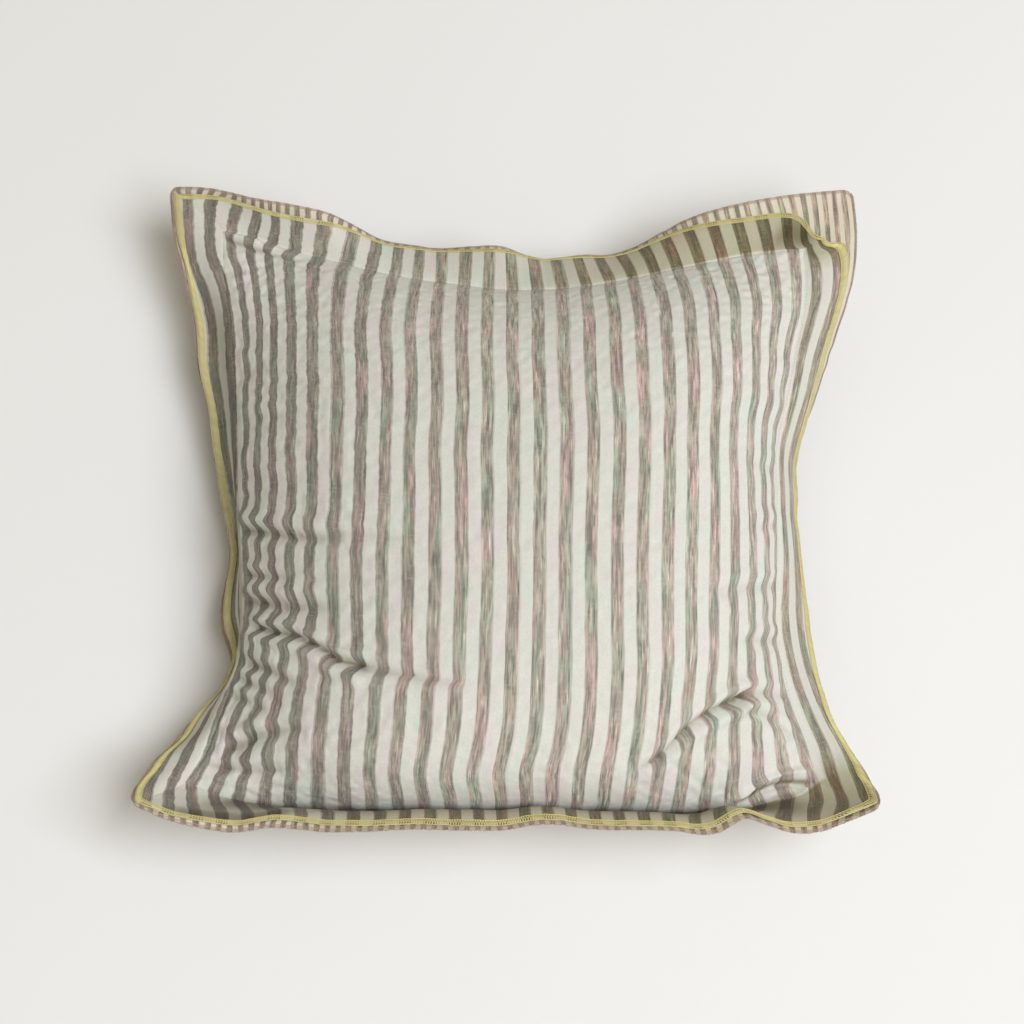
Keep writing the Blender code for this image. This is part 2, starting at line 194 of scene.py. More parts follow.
def patchNoise(x, y, seed):
    # Random heights from -1 to 1 on a unit lattice, joined by smooth steps both ways
    size = 97
    lattice = np.random.default_rng(seed).uniform(-1, 1, (size, size))
    column, row = np.floor(x).astype(int), np.floor(y).astype(int)
    p, q = faded(x - column), faded(y - row)
    column, row = column % size, row % size
    right, up = (column + 1) % size, (row + 1) % size
    return ((1 - q) * ((1 - p) * lattice[column, row] + p * lattice[right, row])
            + q * ((1 - p) * lattice[column, up] + p * lattice[right, up]))


def loopNoise(place, cells, seed):
    # Random heights from -1 to 1 at equal steps round the pillow, joined by smooth steps
    heights = np.random.default_rng(seed).uniform(-1, 1, cells)
    at = np.mod(place, 4.0) * cells / 4.0
    cell = np.floor(at).astype(int)
    p = faded(at - cell)
    return (1 - p) * heights[cell % cells] + p * heights[(cell + 1) % cells]


# Sides and the filled faces
def measureSide(name, side):
    # Cubic through the rows, then resampled so that equal steps are equal lengths of seam
    first, last = corners[side["from"]]["seam"], corners[side["to"]]["seam"]
    main, cross = (1, 0) if name in ("left", "right") else (0, 1)
    along, drawn, lean, margin = (list(column) for column in zip(*side["rows"]))
    keys = np.array([first[main], *along, last[main]])
    way = np.sign(keys[-1] - keys[0])
    place = np.linspace(keys[0], keys[-1], samples + 1)

    def column(start, values, end):
        return smoothThrough(way * keys, [start, *values, end], way * place)

    seam = np.zeros((samples + 1, 3))
    seam[:, main] = place
    seam[:, cross] = column(first[cross], drawn, last[cross])
    seam[:, 2] = np.linspace(first[2], last[2], samples + 1)
    length = summed(np.linalg.norm(np.diff(seam, axis=0), axis=1))
    even = np.linspace(0.0, length[-1], samples + 1)
    return {
        "seam": between(even, length, seam),
        "lean": np.interp(even, length, column(side["lean"][0], lean, side["lean"][1])),
        "margin": np.interp(even, length, column(side["margin"][0], margin, side["margin"][1])),
    }


measured = {name: measureSide(name, side) for name, side in sides.items()}


def slopeProfile(lowSlope, highSlope):
    # Plan place and height over the cloth place -1..1: the slope grows from 0 at the apex to its
    # full value at each seam, and the apex is where both halves reach the same height
    cloth = np.linspace(-1.0, 1.0, 2 * samples + 1)
    step = cloth[1] - cloth[0]

    def run(apex):
        away = np.where(cloth < apex, (apex - cloth) / (1 + apex), (cloth - apex) / (1 - apex))
        slope = np.where(cloth < apex, lowSlope, -highSlope) * away**pillow["slopePower"]
        slope = np.radians((slope[1:] + slope[:-1]) / 2)
        return summed(np.cos(slope) * step), summed(np.sin(slope) * step)

    low, high = -0.6, 0.6
    for halving in range(40):
        apex = (low + high) / 2
        if run(apex)[1][-1] > 0:
            high = apex
        else:
            low = apex
    plan, rise = run(apex)
    return cloth, 2 * plan / plan[-1] - 1, np.clip(rise / rise.max(), 0.0, 1.0)


def seamPlane(a, b):
    # Patch between the four seams: each pair of opposite seams blended, less the blend of corners
    t = np.linspace(-1.0, 1.0, samples + 1)

    def at(name, place, backwards=False):
        curve = measured[name]["seam"]
        return between(place, t, curve[::-1] if backwards else curve)

    top, bottom = at("top", a), at("bottom", a, True)
    left, right = at("left", b), at("right", b, True)
    p, q = ((a + 1) / 2)[..., None], ((b + 1) / 2)[..., None]
    corner = {name: np.array(corners[name]["seam"]) for name in corners}
    lower = (1 - p) * corner["bottomLeft"] + p * corner["bottomRight"]
    upper = (1 - p) * corner["topLeft"] + p * corner["topRight"]
    return (1 - q) * bottom + q * top + (1 - p) * left + p * right - (1 - q) * lower - q * upper


def filledFace(slopes, u, v):
    # Places in the seam plane, drawn in where the cushion is full, and height as a share of the crown
    cloth, planU, heightU = slopeProfile(slopes["left"], slopes["right"])
    _, planV, heightV = slopeProfile(slopes["bottom"], slopes["top"])
    fullU, fullV = np.interp(u, cloth, heightU), np.interp(v, cloth, heightV)
    a = u + fullV**pillow["squeeze"] * (np.interp(u, cloth, planU) - u)
    b = v + fullU**pillow["squeeze"] * (np.interp(v, cloth, planV) - v)
    return seamPlane(a, b), fullU * fullV


# Filling: the sewn cover is blown out from a slightly flatter shape, then held near it
filling = {
    "cells": 110,             # cells of the simulated cloth along a side
    "frames": 16,
    "start": 0.93,            # start height as a share of the full one
    "pressure": 30.0,
    "tension": 40.0,
    "shear": 10.0,
    "bending": 0.001,
    "quality": 5,
    "mass": 0.3,
    "damping": 2.0,
    "sideEase": 0.09,         # cloth gathered along the left and right seams
    "endEase": 0.06,          # cloth gathered along the top and bottom seams
    "ease": {"left": (1.0, 0.40), "right": (0.6, 0.30),      # share and reach of that at each seam
             "bottom": (0.5, 0.30), "top": (0.5, 0.30)},
    "jitter": 0.0004,
    "cap": 0.008,             # furthest that the simulation may move a point
    "seed": 4,
}


def closedGrid(cells):
    # Vertex numbers of a front and a back grid that share their rim
    front = np.arange((cells + 1)**2).reshape(cells + 1, cells + 1)
    back = front.copy()
    back[1:-1, 1:-1] = front.size + np.arange((cells - 1)**2).reshape(cells - 1, cells - 1)
    return front, back


def gridQuads(index):
    # Each cell's four vertex numbers in turn
    cells = index[:-1, :-1], index[1:, :-1], index[1:, 1:], index[:-1, 1:]
    return np.stack(cells, axis=-1).reshape(-1, 4)


def joinFaces(front, back):
    # All of the front's grid, then the back's without its rim
    return np.concatenate([front.reshape(-1, 3), back[1:-1, 1:-1].reshape(-1, 3)])


def eased(place, low, high):
    # Bells at both ends of -1..1
    (lowShare, lowReach), (highShare, highReach) = filling["ease"][low], filling["ease"][high]
    return (lowShare * np.exp(-((place + 1) / lowReach)**2)
            + highShare * np.exp(-((place - 1) / highReach)**2))


def settleFilling(front, back, u, v):
    # Blender's cloth with pressure; rest lengths come from the panels lying flat, eased at the seams
    cells = filling["cells"]
    frontIndex, backIndex = closedGrid(cells)
    points = joinFaces(front, back)
    rim = np.unique(np.concatenate([frontIndex[0], frontIndex[-1], frontIndex[:, 0], frontIndex[:, -1]]))
    shake = np.random.default_rng(filling["seed"]).normal(0, filling["jitter"], len(points))
    shake[rim] = 0
    start = points + np.stack([0 * shake, 0 * shake, shake], axis=1)
    flat = np.stack([u * half * (1 + filling["endEase"] * eased(v, "bottom", "top")),
                     v * half * (1 + filling["sideEase"] * eased(u, "left", "right")), 0 * u], axis=-1)
    under = flat - np.array([0, 0, pillow["gap"]])
    mesh = bpy.data.meshes.new("settling")
    faces = np.concatenate([gridQuads(frontIndex), gridQuads(backIndex)[:, ::-1]])
    mesh.from_pydata(start.tolist(), [], faces.tolist())
    item = bpy.data.objects.new("settling", mesh)
    scene.collection.objects.link(item)
    item.shape_key_add(name="drawnIn")
    cut = item.shape_key_add(name="cutFlat")
    cut.data.foreach_set("co", joinFaces(flat, under).ravel())
    cut.value = 0
    item.vertex_groups.new(name="sewn").add(rim.tolist(), 1.0, "REPLACE")
    cloth = item.modifiers.new("filling", "CLOTH")
    values = cloth.settings
    values.quality = filling["quality"]
    values.mass = filling["mass"]
    values.tension_stiffness = values.compression_stiffness = filling["tension"]
    values.shear_stiffness = filling["shear"]
    values.bending_stiffness = filling["bending"]
    values.tension_damping = values.compression_damping = values.shear_damping = filling["damping"]
    values.rest_shape_key = cut
    values.vertex_group_mass = "sewn"
    values.use_pressure = True
    values.uniform_pressure_force = filling["pressure"]
    values.effector_weights.gravity = 0
    cloth.collision_settings.use_collision = False
    cloth.point_cache.frame_end = filling["frames"]
    for number in range(1, filling["frames"] + 1):
        scene.frame_set(number)
    settled = item.evaluated_get(bpy.context.evaluated_depsgraph_get()).data
    result = np.empty(len(points) * 3, np.float32)
    settled.vertices.foreach_get("co", result)
    moved = result.reshape(-1, 3).astype(float) - points
    far = np.linalg.norm(moved, axis=1)[:, None]
    points = points + moved * np.minimum(1.0, filling["cap"] / np.maximum(far, 1e-9))
    scene.frame_set(1)
    bpy.data.objects.remove(item, do_unlink=True)
    bpy.data.meshes.remove(mesh)
    return points[frontIndex], points[backIndex]


# Creases of the front, placed on the flat panel in millimetres. Each is a soft trough
# along its path with a low ridge on the upper side and a lip on the lower one. Depth runs from the
# path's start to its end; swing is how far the stripes above and below it are dragged to the right.
creases = [
    {"path": [(-200, -98), (-179, -95), (-159, -92), (-137, -95), (-123, -100), (-108, -101)],
     "depth": (3.4, 4.8), "width": 3.6, "ridge": 2.8, "lip": 2.8, "swing": (2.5, -3.5)},
    {"path": [(-104, -101), (-76, -103), (-56, -105), (-39, -106)],
     "depth": (2.4, 0.8), "width": 5, "ridge": 1.2, "lip": 1.4, "swing": (2.0, -1.5)},
    {"path": [(-210, -28), (-186, -28), (-149, -25), (-128, -24)],
     "depth": (3.8, 1.6), "width": 6, "ridge": 2.8},
    {"path": [(-120, -20), (-100, -19), (-78, -20)], "depth": (1.0, 0.6), "width": 5, "ridge": 0.8},
    {"path": [(-214, -62), (-196, -60), (-172, -56)], "depth": (3.0, 1.3), "width": 4.5, "ridge": 1.8},
    {"path": [(-214, -82), (-175, -76), (-138, -70)], "depth": (3.8, 1.6), "width": 6, "ridge": 2.6},
    {"path": [(-204, -125), (-177, -121), (-160, -121)],
     "depth": (2.6, 1.4), "width": 4.5, "ridge": 1.6},
    {"path": [(-208, -138), (-190, -136), (-172, -135)],
     "depth": (2.0, 1.0), "width": 4, "ridge": 1.2},
    {"path": [(-214, -152), (-200, -149), (-184, -147)],
     "depth": (2.2, 1.2), "width": 5, "ridge": 1.4},
    {"path": [(-198, -182), (-180, -166), (-166, -158), (-150, -150)],
     "depth": (3.4, 1.4), "width": 5, "ridge": 2.0, "lip": 1.0},
    {"path": [(-204, -200), (-186, -194), (-160, -184)],
     "depth": (2.8, 1.4), "width": 5, "ridge": 1.6, "lip": 0.8},
    {"path": [(-212, 97), (-190, 96), (-150, 86)], "depth": (0.7, 0.4), "width": 7, "ridge": 0.5},
    {"path": [(-214, 60), (-196, 58), (-170, 57)], "depth": (0.6, 0.4), "width": 6, "ridge": 0.4},
    {"path": [(-214, 14), (-196, 12), (-170, 12)], "depth": (0.7, 0.4), "width": 6, "ridge": 0.5},
    {"path": [(-214, 212), (-200, 209), (-184, 207), (-166, 206)],
     "depth": (3.6, 1.8), "width": 4, "ridge": 2.4, "swing": (-4.0, 0.0)},
    {"path": [(92, -160), (103, -152), (117, -140), (133, -133), (150, -131), (166, -132)],
     "depth": (2.0, 4.6), "width": 4.0, "ridge": 2.0, "lip": 3.0, "swing": (-4.0, -1.0)},
    {"path": [(160, -132), (174, -134), (190, -139), (206, -147)],
     "depth": (2.6, 1.2), "width": 4, "ridge": 1.0, "lip": 1.0},
    {"path": [(166, -142), (182, -150), (197, -163), (208, -176)],
     "depth": (2.2, 1.0), "width": 3.6, "ridge": 1.0, "lip": 1.0},
    {"path": [(166, -210), (176, -206), (188, -205), (200, -207), (210, -213)],
     "depth": (5.0, 6.5), "width": 3.6, "ridge": 3.4, "lip": 1.6, "swing": (3.0, -2.0)},
    {"path": [(184, 26), (200, 25), (212, 24)], "depth": (0.5, 0.8), "width": 6, "ridge": 0.5},
    {"path": [(184, -20), (200, -21), (212, -20)], "depth": (0.5, 0.9), "width": 5.5, "ridge": 0.6},
    {"path": [(150, -60), (180, -64), (208, -68)], "depth": (0.8, 1.0), "width": 6, "ridge": 0.6},
    {"path": [(172, -98), (190, -103), (212, -110)], "depth": (1.0, 1.4), "width": 5, "ridge": 1.0},
]
creaseForm = {
    "steps": 40,              # points that a path is read at
    "ridgeAt": 1.6,           # widths from the path up to its ridge
    "lipAt": 1.9,             # widths from the path down to its lip
    "lipWidth": 1.2,
    "endFade": 1.6,           # widths over which a crease dies away past its ends
    "dragWidth": 1.2,         # widths between the stripes dragged one way and the other
    "dragAbove": 0.009,       # how soon the stripes are straight again, in metres
    "dragBelow": 0.022,
    # Painted shade along each crease: darkest at this depth, in a line at this place and width
    "paintedShadeDepth": 0.0050,      # depth of the darkest crease
    "paintedShadeAt": 0.1,            # place and width of its dark line, in widths
    "paintedShadeWidth": 0.55,
}
# Stripes that lie off straight on the front, in millimetres. Row columns: place up the panel, then
# how far to the right the stripes lie there, at each place across it
sway = {
    "across": (-262, -220, -170, -110, -40, 60, 140, 220),
    "rows": [
        (-220, -2, -2, -2, 1, 3, -2, -2, 8),
        (-195, -3, -3, -4, 2, 3, -2.5, -3, 9),
        (-165, -6, -6, -5.5, 0, -1, -3.5, -2.5, 7),
        (-130, -1, -1, -4, 0, 1.5, 0, -3, 3),
        (-90, 0, 0, 0, 1.5, 1.5, 1.5, 1.5, 2),
        (-40, -3, 0, -1.5, 0, 3, 1.5, 2.5, 5),
        (0, 0, 6, 4, 5, 5, 3, 4, 2),
        (45, -3, 7, 3.5, 7, 5.5, 6, 5.5, 2),
        (90, -3, 9, 3, 6, 4.5, 1, 3, 2),
        (130, -2, 11, 2, 2.5, 1.5, -1, 0, 0),
        (180, 2, 10, -1.5, 3.5, 3, 1, 1, 2),
        (203, 2, 3, -4, 3.5, 3, 3, 2, 2),
        (220, 2, 2.5, -1.5, 5, 3.5, 5.5, 3, 2),
    ],
}
puckers = {
    "fine": 0.0006,           # height of the small gathers that the stitches pull up
    "fineCells": 320,         # gathers round the pillow
    "fineReach": 0.009,
    "fineSeed": 11,
    "broad": 0.0013,
    "broadCells": 112,
    "broadReach": 0.026,
    "broadSeed": 12,
    "share": {"top": 0.7, "right": 1.0, "bottom": 0.8, "left": 1.3},
    "cornerFade": 0.05,       # share of a side that is without gathers at its ends
    "rumple": 0.0006,         # level waves of the slack cloth beside the left seam
    "rumpleSize": (0.030, 0.0066),
    "rumpleReach": 0.55,      # share of half the panel
    "rumpleSeed": 21,
    "sideways": 1.0,          # how much more the folds of a flank move sideways than upwards
    "sidewaysReach": 0.020,
    "hold": 0.003,            # distance from the seam at which folds reach their full height
    "room": 0.45,             # share of the height over the seam that a trough may take
    "leastRoom": 0.0002,
}
bodyForm = {
    "clothIn": 0.0020,        # how soon the cloth's own thickness comes in from the seam
    "clothOut": 0.020,        # and how soon it goes again, where the panel itself is the surface
    "flatSoft": 0.002,        # rounding of the back into the flat spot that it lies on
    # Painted shade: a dark line where the front dips behind its bottom flange
    "seamShade": 0.6,         # dark line where the front dips behind its bottom flange
    "seamShadeReach": 0.006,
    "seamShadeFrom": -0.215,  # it starts here, from the left
    "seamShadeFade": 0.06,
}


def stripeSway(x, y):
    # Cubic along each row of the table, then a cubic share of every row by the place up the panel
    across, table = np.array(sway["across"]) / 1000, np.array(sway["rows"], float) / 1000
    up, right = table[:, 0], table[:, 1:]
    flatX, flatY = np.clip(x.ravel(), across[0], across[-1]), np.clip(y.ravel(), up[0], up[-1])
    line = smoothThrough(across, right.T, flatX)
    share = smoothThrough(up, np.eye(len(up)), flatY)
    return (line * share).sum(axis=1).reshape(x.shape)


def creaseRelief(crease, x, y):
    # Height over a crease: distance from its smoothed path gives a trough, a ridge above it and a lip
    # below it. Swing: a step across the path that dies away both ways. Shade: painted shade in the
    # trough, a bell along the path
    form = creaseForm
    rows = np.array(crease["path"], float) / 1000
    along = np.linspace(0.0, 1.0, form["steps"])
    path = smoothThrough(np.linspace(0.0, 1.0, len(rows)), rows, along)
    way = unit(np.gradient(path, axis=0))
    near = np.argmin((x[..., None] - path[:, 0])**2 + (y[..., None] - path[:, 1])**2, axis=-1)
    dx, dy = x - path[near, 0], y - path[near, 1]
    width = crease["width"] / 1000
    across = dy * way[near, 0] - dx * way[near, 1]
    ending = np.where(near == 0, -1, np.where(near == form["steps"] - 1, 1, 0))
    beyond = np.clip(ending * (dx * way[near, 0] + dy * way[near, 1]), 0, None)
    fade = np.exp(-(beyond / (form["endFade"] * width))**2)
    deepest = max(crease["depth"])
    depth = np.interp(along[near], [0, 1], crease["depth"]) / 1000
    at = across / width
    ridge = crease["ridge"] / deepest * np.exp(-(at - form["ridgeAt"])**2)
    lip = crease.get("lip", 0) / deepest * np.exp(-((at + form["lipAt"]) / form["lipWidth"])**2)
    relief = depth * (ridge - np.exp(-at**2) + lip)
    above, below = crease.get("swing", (0, 0))
    upper = faded(at / form["dragWidth"] + 0.5)
    swing = (above * upper * np.exp(-np.clip(across, 0, None) / form["dragAbove"])
             + below * (1 - upper) * np.exp(np.clip(across, None, 0) / form["dragBelow"])) / 1000
    # Painted shade along the trough, darker in deeper creases
    dark = np.exp(-((at - form["paintedShadeAt"]) / form["paintedShadeWidth"])**2)
    shade = np.clip(depth / form["paintedShadeDepth"], 0, 1) * dark
    return fade * relief, fade * swing, fade * shade


def gathers(u, v):
    # Waves that run in from each seam: noise along the seam, dying away with the distance from it
    places = {"top": ((u + 1) / 2, 1 - v), "right": (1 + (1 - v) / 2, 1 - u),
              "bottom": (2 + (1 - u) / 2, 1 + v), "left": (3 + (v + 1) / 2, 1 + u)}
    height = np.zeros_like(u)
    for name, (place, away) in places.items():
        away = away * half
        atCorner = faded((0.5 - np.abs(place - np.floor(place) - 0.5)) / puckers["cornerFade"])
        waves = 0
        for size in ("fine", "broad"):
            noise = loopNoise(place, puckers[size + "Cells"], puckers[size + "Seed"])
            waves = waves + puckers[size] * (noise * np.exp(-away / puckers[size + "Reach"]))
        height += puckers["share"][name] * atCorner * waves
    return height


def gridNormals(points):
    # Cross product of the two grid directions
    return unit(np.cross(np.gradient(points, axis=0), np.gradient(points, axis=1)))


def resample(points, stations, wanted):
    # Cubic both ways, from even stations to the graded ones
    once = smoothThrough(stations, points, wanted)
    return np.swapaxes(smoothThrough(stations, np.swapaxes(once, 0, 1), wanted), 0, 1)


def filledBody():
    # Two faces blown out from the shared seam, refined on a graded grid, then moved along their normals
    # by the creases, gathers and rumples, and the back rounded into its flat spot
    cells = filling["cells"]
    even = np.linspace(-1.0, 1.0, cells + 1)
    u, v = np.meshgrid(even, even, indexing="ij")
    front, frontFull = filledFace(pillow["frontSlopes"], u, v)
    back, backFull = filledFace(pillow["backSlopes"], u, v)
    front[..., 2] += filling["start"] * pillow["frontCrown"] * frontFull
    back[..., 2] -= filling["start"] * pillow["backDepth"] * backFull
    front, back = settleFilling(front, back, u, v)
    print("filling settled")
    station = np.linspace(-1.0, 1.0, pillow["cells"] + 1)
    graded = station + pillow["grading"] * np.sin(np.pi * station) / np.pi
    front, back = resample(front, even, graded), resample(back, even, graded)
    u, v = np.meshgrid(graded, graded, indexing="ij")
    x, y = u * half, v * half
    away = half - np.maximum(np.abs(x), np.abs(y))
    hold = 1 - np.exp(-(away / puckers["hold"])**2)
    relief, swing, shade = (sum(part) for part in zip(*(creaseRelief(crease, x, y) for crease in creases)))
    relief = relief + gathers(u, v)
    slack = np.exp(-((u + 1) / puckers["rumpleReach"])**2)
    longSize, highSize = puckers["rumpleSize"]
    relief += puckers["rumple"] * slack * patchNoise(x / longSize, y / highSize, puckers["rumpleSeed"])
    room = puckers["leastRoom"] + puckers["room"] * np.clip(front[..., 2], 0.0, None)
    relief = np.where(relief < 0, -room * np.tanh(-relief / room), relief)
    way = gridNormals(front)
    way[..., 0] *= 1 + puckers["sideways"] * (1 - np.exp(-(away / puckers["sidewaysReach"])**2))
    front += way * (hold * relief)[..., None]
    back -= gridNormals(back) * (hold * gathers(-u, v))[..., None]
    thick = pillow["cloth"] * (1 - np.exp(-away / bodyForm["clothIn"]))
    thick = thick * np.exp(-away / bodyForm["clothOut"])
    front[..., 2] += thick
    back[..., 2] -= thick

    level, soft = -pillow["backDepth"], bodyForm["flatSoft"]
    depth = back[..., 2] - level
    height = level + np.where(depth > soft, depth, soft * np.exp((depth - soft) / soft))
    height -= soft * np.exp(-1.0) * np.exp(-np.clip(depth, 0, None) / soft)
    back[..., 2] = np.maximum(height, level)

    drawn = np.stack([x - stripeSway(x, y) - hold * swing, y, 0 * x], axis=-1)
    # Painted shade: the creases' dark lines, and a dark line along the bottom seam from the left corner on
    fromLeft = faded((x - bodyForm["seamShadeFrom"]) / bodyForm["seamShadeFade"])
    atBottom = np.exp(-((half + y) / bodyForm["seamShadeReach"])**2) * fromLeft
    shade = hold * shade + bodyForm["seamShade"] * atBottom
    return front + seamPlace, back + seamPlace, drawn, np.stack([x, y, 0 * x], axis=-1), shade


# Meshes and objects
def clothMap(mesh, places):
    # UV map named cloth: each corner's place on the flat panel, in metres
    corner = np.empty(len(mesh.loops), np.int64)
    mesh.loops.foreach_get("vertex_index", corner)
    layer = mesh.uv_layers.new(name="cloth")
    layer.uv.foreach_set("vector", places[corner].astype(np.float32).ravel())


def addPiece(name, points, faces, places, materials, materialIndex=None):
    mesh = bpy.data.meshes.new(name)
    mesh.from_pydata(points.tolist(), [], faces.tolist())
    clothMap(mesh, places)
    for material in materials:
        mesh.materials.append(material)
    if materialIndex is not None:
        mesh.polygons.foreach_set("material_index", materialIndex)
    mesh.shade_smooth()
    mesh.update()
    item = bpy.data.objects.new(name, mesh)
    scene.collection.objects.link(item)
    print(f"{name}: {len(faces)} faces")
    return item


def addShade(item, shade):
    # Point attribute of painted shade that darkens the cloth, from 0 to 1
    layer = item.data.attributes.new("paintedShade", "FLOAT", "POINT")
    layer.data.foreach_set("value", np.clip(shade, 0, 1).astype(np.float32).ravel())


# Flanges
flange = {
    "around": 1600,           # stations round the pillow
    "frontRows": 14,
    "backRows": 18,
    "rowPower": 1.3,          # rows lie closer at the root than at the edge
    "root": -0.0030,          # the cloth runs this far under the filled part's own cloth
    "hookFade": 0.14,         # share of a side over which the arch comes in
    "wave": 0.0011,           # height of the loose edge's long waves
    "wavePower": 1.5,         # power of the share of the width that they grow with
    "waveCells": 72,
    "waveSeed": 31,
    "crimp": 0.0004,          # height of its short waves
    "crimpCells": 230,
    "crimpSeed": 32,
    "crimpAt": 0.15,          # share of the width where they rise again, beside the seam
    "crimpSpread": 0.01,
    "curl": 0.0012,           # most that the front edge lifts off the back one
    "curlBias": 0.35,
    "curlCells": 44,
    "curlSeed": 33,
    "frontRound": 0.0025,     # radius of the panels' corners
    "backRound": 0.007,
    "press": 0.8,             # how flat the seam presses the cloth
    "pressReach": 0.0035,
}
# Painted shade on the front flange: along the bottom and the left, where it dips behind the filled
# body, at the tucked top right corner, and in a line near its edge by the bottom left corner. Columns:
# first and last place round the pillow (1 is the top right corner, 2 the bottom right one), how soon
# each end fades, strength, and share of the width that it is darkest at and reaches from there
shadowed = [
    {"from": 2.02, "to": 2.97, "fade": 0.07, "strength": 1.0, "at": 0.1, "reach": 0.50},
    {"from": 3.12, "to": 3.92, "fade": 0.15, "strength": 0.50, "at": 0.0, "reach": 0.50},
    {"from": 0.91, "to": 1.01, "fade": 0.04, "strength": 0.8, "at": 0.45, "reach": 0.35},
    {"from": 2.78, "to": 2.98, "fade": 0.04, "strength": 0.9, "at": 0.78, "reach": 0.11},
]


def rimCurves():
    # Loops round the pillow: seam, back edge, front edge's share of the width, pull of tucked corners,
    # arch of the flange over its chord, and the power of the share that its rise follows
    parts = {"seam": [], "edge": [], "front": [], "tuck": [], "arch": [], "bend": []}
    t = np.linspace(0.0, 1.0, samples + 1)[:, None]
    up = np.array([0.0, 0.0, 1.0])
    for name, side in sides.items():
        start, end = corners[side["from"]], corners[side["to"]]
        line = measured[name]["seam"]
        along = np.gradient(line, axis=0)
        outward = unit(np.stack([-along[:, 1], along[:, 0], np.zeros(len(line))], axis=1))
        outward = unit(side["fan"] * outward + (1 - side["fan"]) * np.array(side["way"]))
        height, turn, short = side["hook"]        # a hanging flange arches downwards
        window = faded(np.minimum(t, 1 - t) / flange["hookFade"])
        lean = np.radians(measured[name]["lean"][:, None] + turn * window)
        width = pillow["flangeWidth"] - short * window
        reach = width * (np.cos(lean) * outward + np.sin(lean) * up)
        chord = unit(line[-1] - line[0])
        misses = np.array(start["reach"]) - reach[0], np.array(end["reach"]) - reach[-1]
        for miss, weight in zip(misses, (1 - t, t)):
            lengthwise = chord * (miss @ chord)
            reach = reach + weight * lengthwise + weight**pillow["cornerPower"] * (miss - lengthwise)
        distance = t * pillow["seamSide"]
        span = pillow["tuckSpan"]
        pull = (np.exp(-(distance / span)**2) * np.array([*start["tuck"], 0.0])
                + np.exp(-((pillow["seamSide"] - distance) / span)**2) * np.array([*end["tuck"], 0.0]))
        level = reach * np.array([1.0, 1.0, 0.0])
        flat = np.linalg.norm(level, axis=1)[:, None]
        arch = (up * flat - level / flat * reach[:, 2:]) / np.linalg.norm(reach, axis=1)[:, None]
        parts["seam"].append(line[:-1])
        parts["edge"].append((line + reach)[:-1])
        parts["front"].append(1 - measured[name]["margin"][:-1] / pillow["flangeWidth"])
        parts["tuck"].append(pull[:-1])
        parts["arch"].append((height * window * arch)[:-1])
        straight = window[:-1, 0] * (height != 0)
        parts["bend"].append(pillow["bendPower"] + (1 - pillow["bendPower"]) * straight)
    return {key: np.concatenate(value) for key, value in parts.items()}


rim = rimCurves()
rimPlaces = np.linspace(0.0, 4.0, 4 * samples, endpoint=False)
panelCorners = np.array([(-1, 1), (1, 1), (1, -1), (-1, -1), (-1, 1)], float)


def rimAt(key, place):
    # A loop's value or point, straight between its samples
    values = rim[key]
    if values.ndim == 1:
        return np.interp(place, rimPlaces, values, period=4.0)
    return between(place, rimPlaces, values, 4.0)


def panelPlace(place, share):
    # Place on the flat panel: a square of the seam's size that grows with the share of the width
    place = np.mod(place, 4.0)
    side = np.floor(place).astype(int)
    t = (place - side)[..., None]
    onSquare = (1 - t) * panelCorners[side] + t * panelCorners[side + 1]
    return onSquare * (half + share * pillow["flangeWidth"])[..., None]


def flangeBase(place, share, tucked=False):
    # Seam plus the share of the reach; the rise grows with a power of the share, and the arch is
    # highest at two thirds of the width
    seam, edge, tuck = rimAt("seam", place), rimAt("edge", place), rimAt("tuck", place)
    front = rimAt("front", place)
    share = np.clip(share, -0.1, 1.2)
    reach = (edge - seam) * share[..., None]
    reach[..., 2] = (edge - seam)[..., 2] * np.clip(share, 0.0, None)**rimAt("bend", place)
    pull = np.clip(share / front, 0, 1.1) * tucked
    arch = 6.75 * np.clip(share, 0.0, None)**2 * (1 - share)
    return seam + reach + tuck * pull[..., None] + rimAt("arch", place) * arch[..., None]


def cornerCut(place, radius):
    # Share of the width that a rounded corner takes off: a circle inside two straight edges
    distance = np.abs(np.mod(place + 0.5, 1.0) - 0.5) * 2 * (half + pillow["flangeWidth"])
    near = np.minimum(distance, radius)
    return (radius - (near + np.sqrt(2 * radius**2 - near**2)) / 2) / pillow["flangeWidth"]


def flangeNormal(place, share, tucked=False):
    # Cross product of the way round and the way out, level at the seam itself
    step, levelReach = 0.004, 0.06
    around = flangeBase(place + step, share, tucked) - flangeBase(place - step, share, tucked)
    inner = flangeBase(place, np.maximum(share - step, 0), tucked)
    outward = flangeBase(place, share + step, tucked) - inner
    normal = unit(np.cross(around, outward))
    level = np.exp(-(share / levelReach)**2)[..., None]
    return unit(normal * (1 - level) + np.array([0.0, 0.0, 1.0]) * level)


def flangeAt(place, share, lift, front=False):
    # Point at a height over the flange's middle surface; the loose edge waves, and the front one curls
    place, share, lift = np.broadcast_arrays(place, share, lift)
    wave = flange["wave"] * loopNoise(place, flange["waveCells"], flange["waveSeed"])
    wave = wave * np.clip(share, 0.0, None)**flange["wavePower"]
    crimp = flange["crimp"] * loopNoise(place, flange["crimpCells"], flange["crimpSeed"])
    crimp = crimp * (share**2 + np.exp(-(share - flange["crimpAt"])**2 / flange["crimpSpread"]))
    height = lift + wave + crimp
    if front:
        curl = loopNoise(place, flange["curlCells"], flange["curlSeed"])
        curl = np.clip(curl + flange["curlBias"], 0, None)
        height = height + flange["curl"] * curl * np.clip(share / rimAt("front", place), 0, 1.1)**3
    rise = flangeNormal(place, share, front) * height[..., None]
    return flangeBase(place, share, front) + rise + seamPlace


def pressed(share):
    # Share of the full height over the seam plane: a bell at the root takes it down
    root = flange["root"] / pillow["flangeWidth"]
    reach = flange["pressReach"] / pillow["flangeWidth"]
    return 1 - flange["press"] * np.exp(-((share - root) / reach)**2)


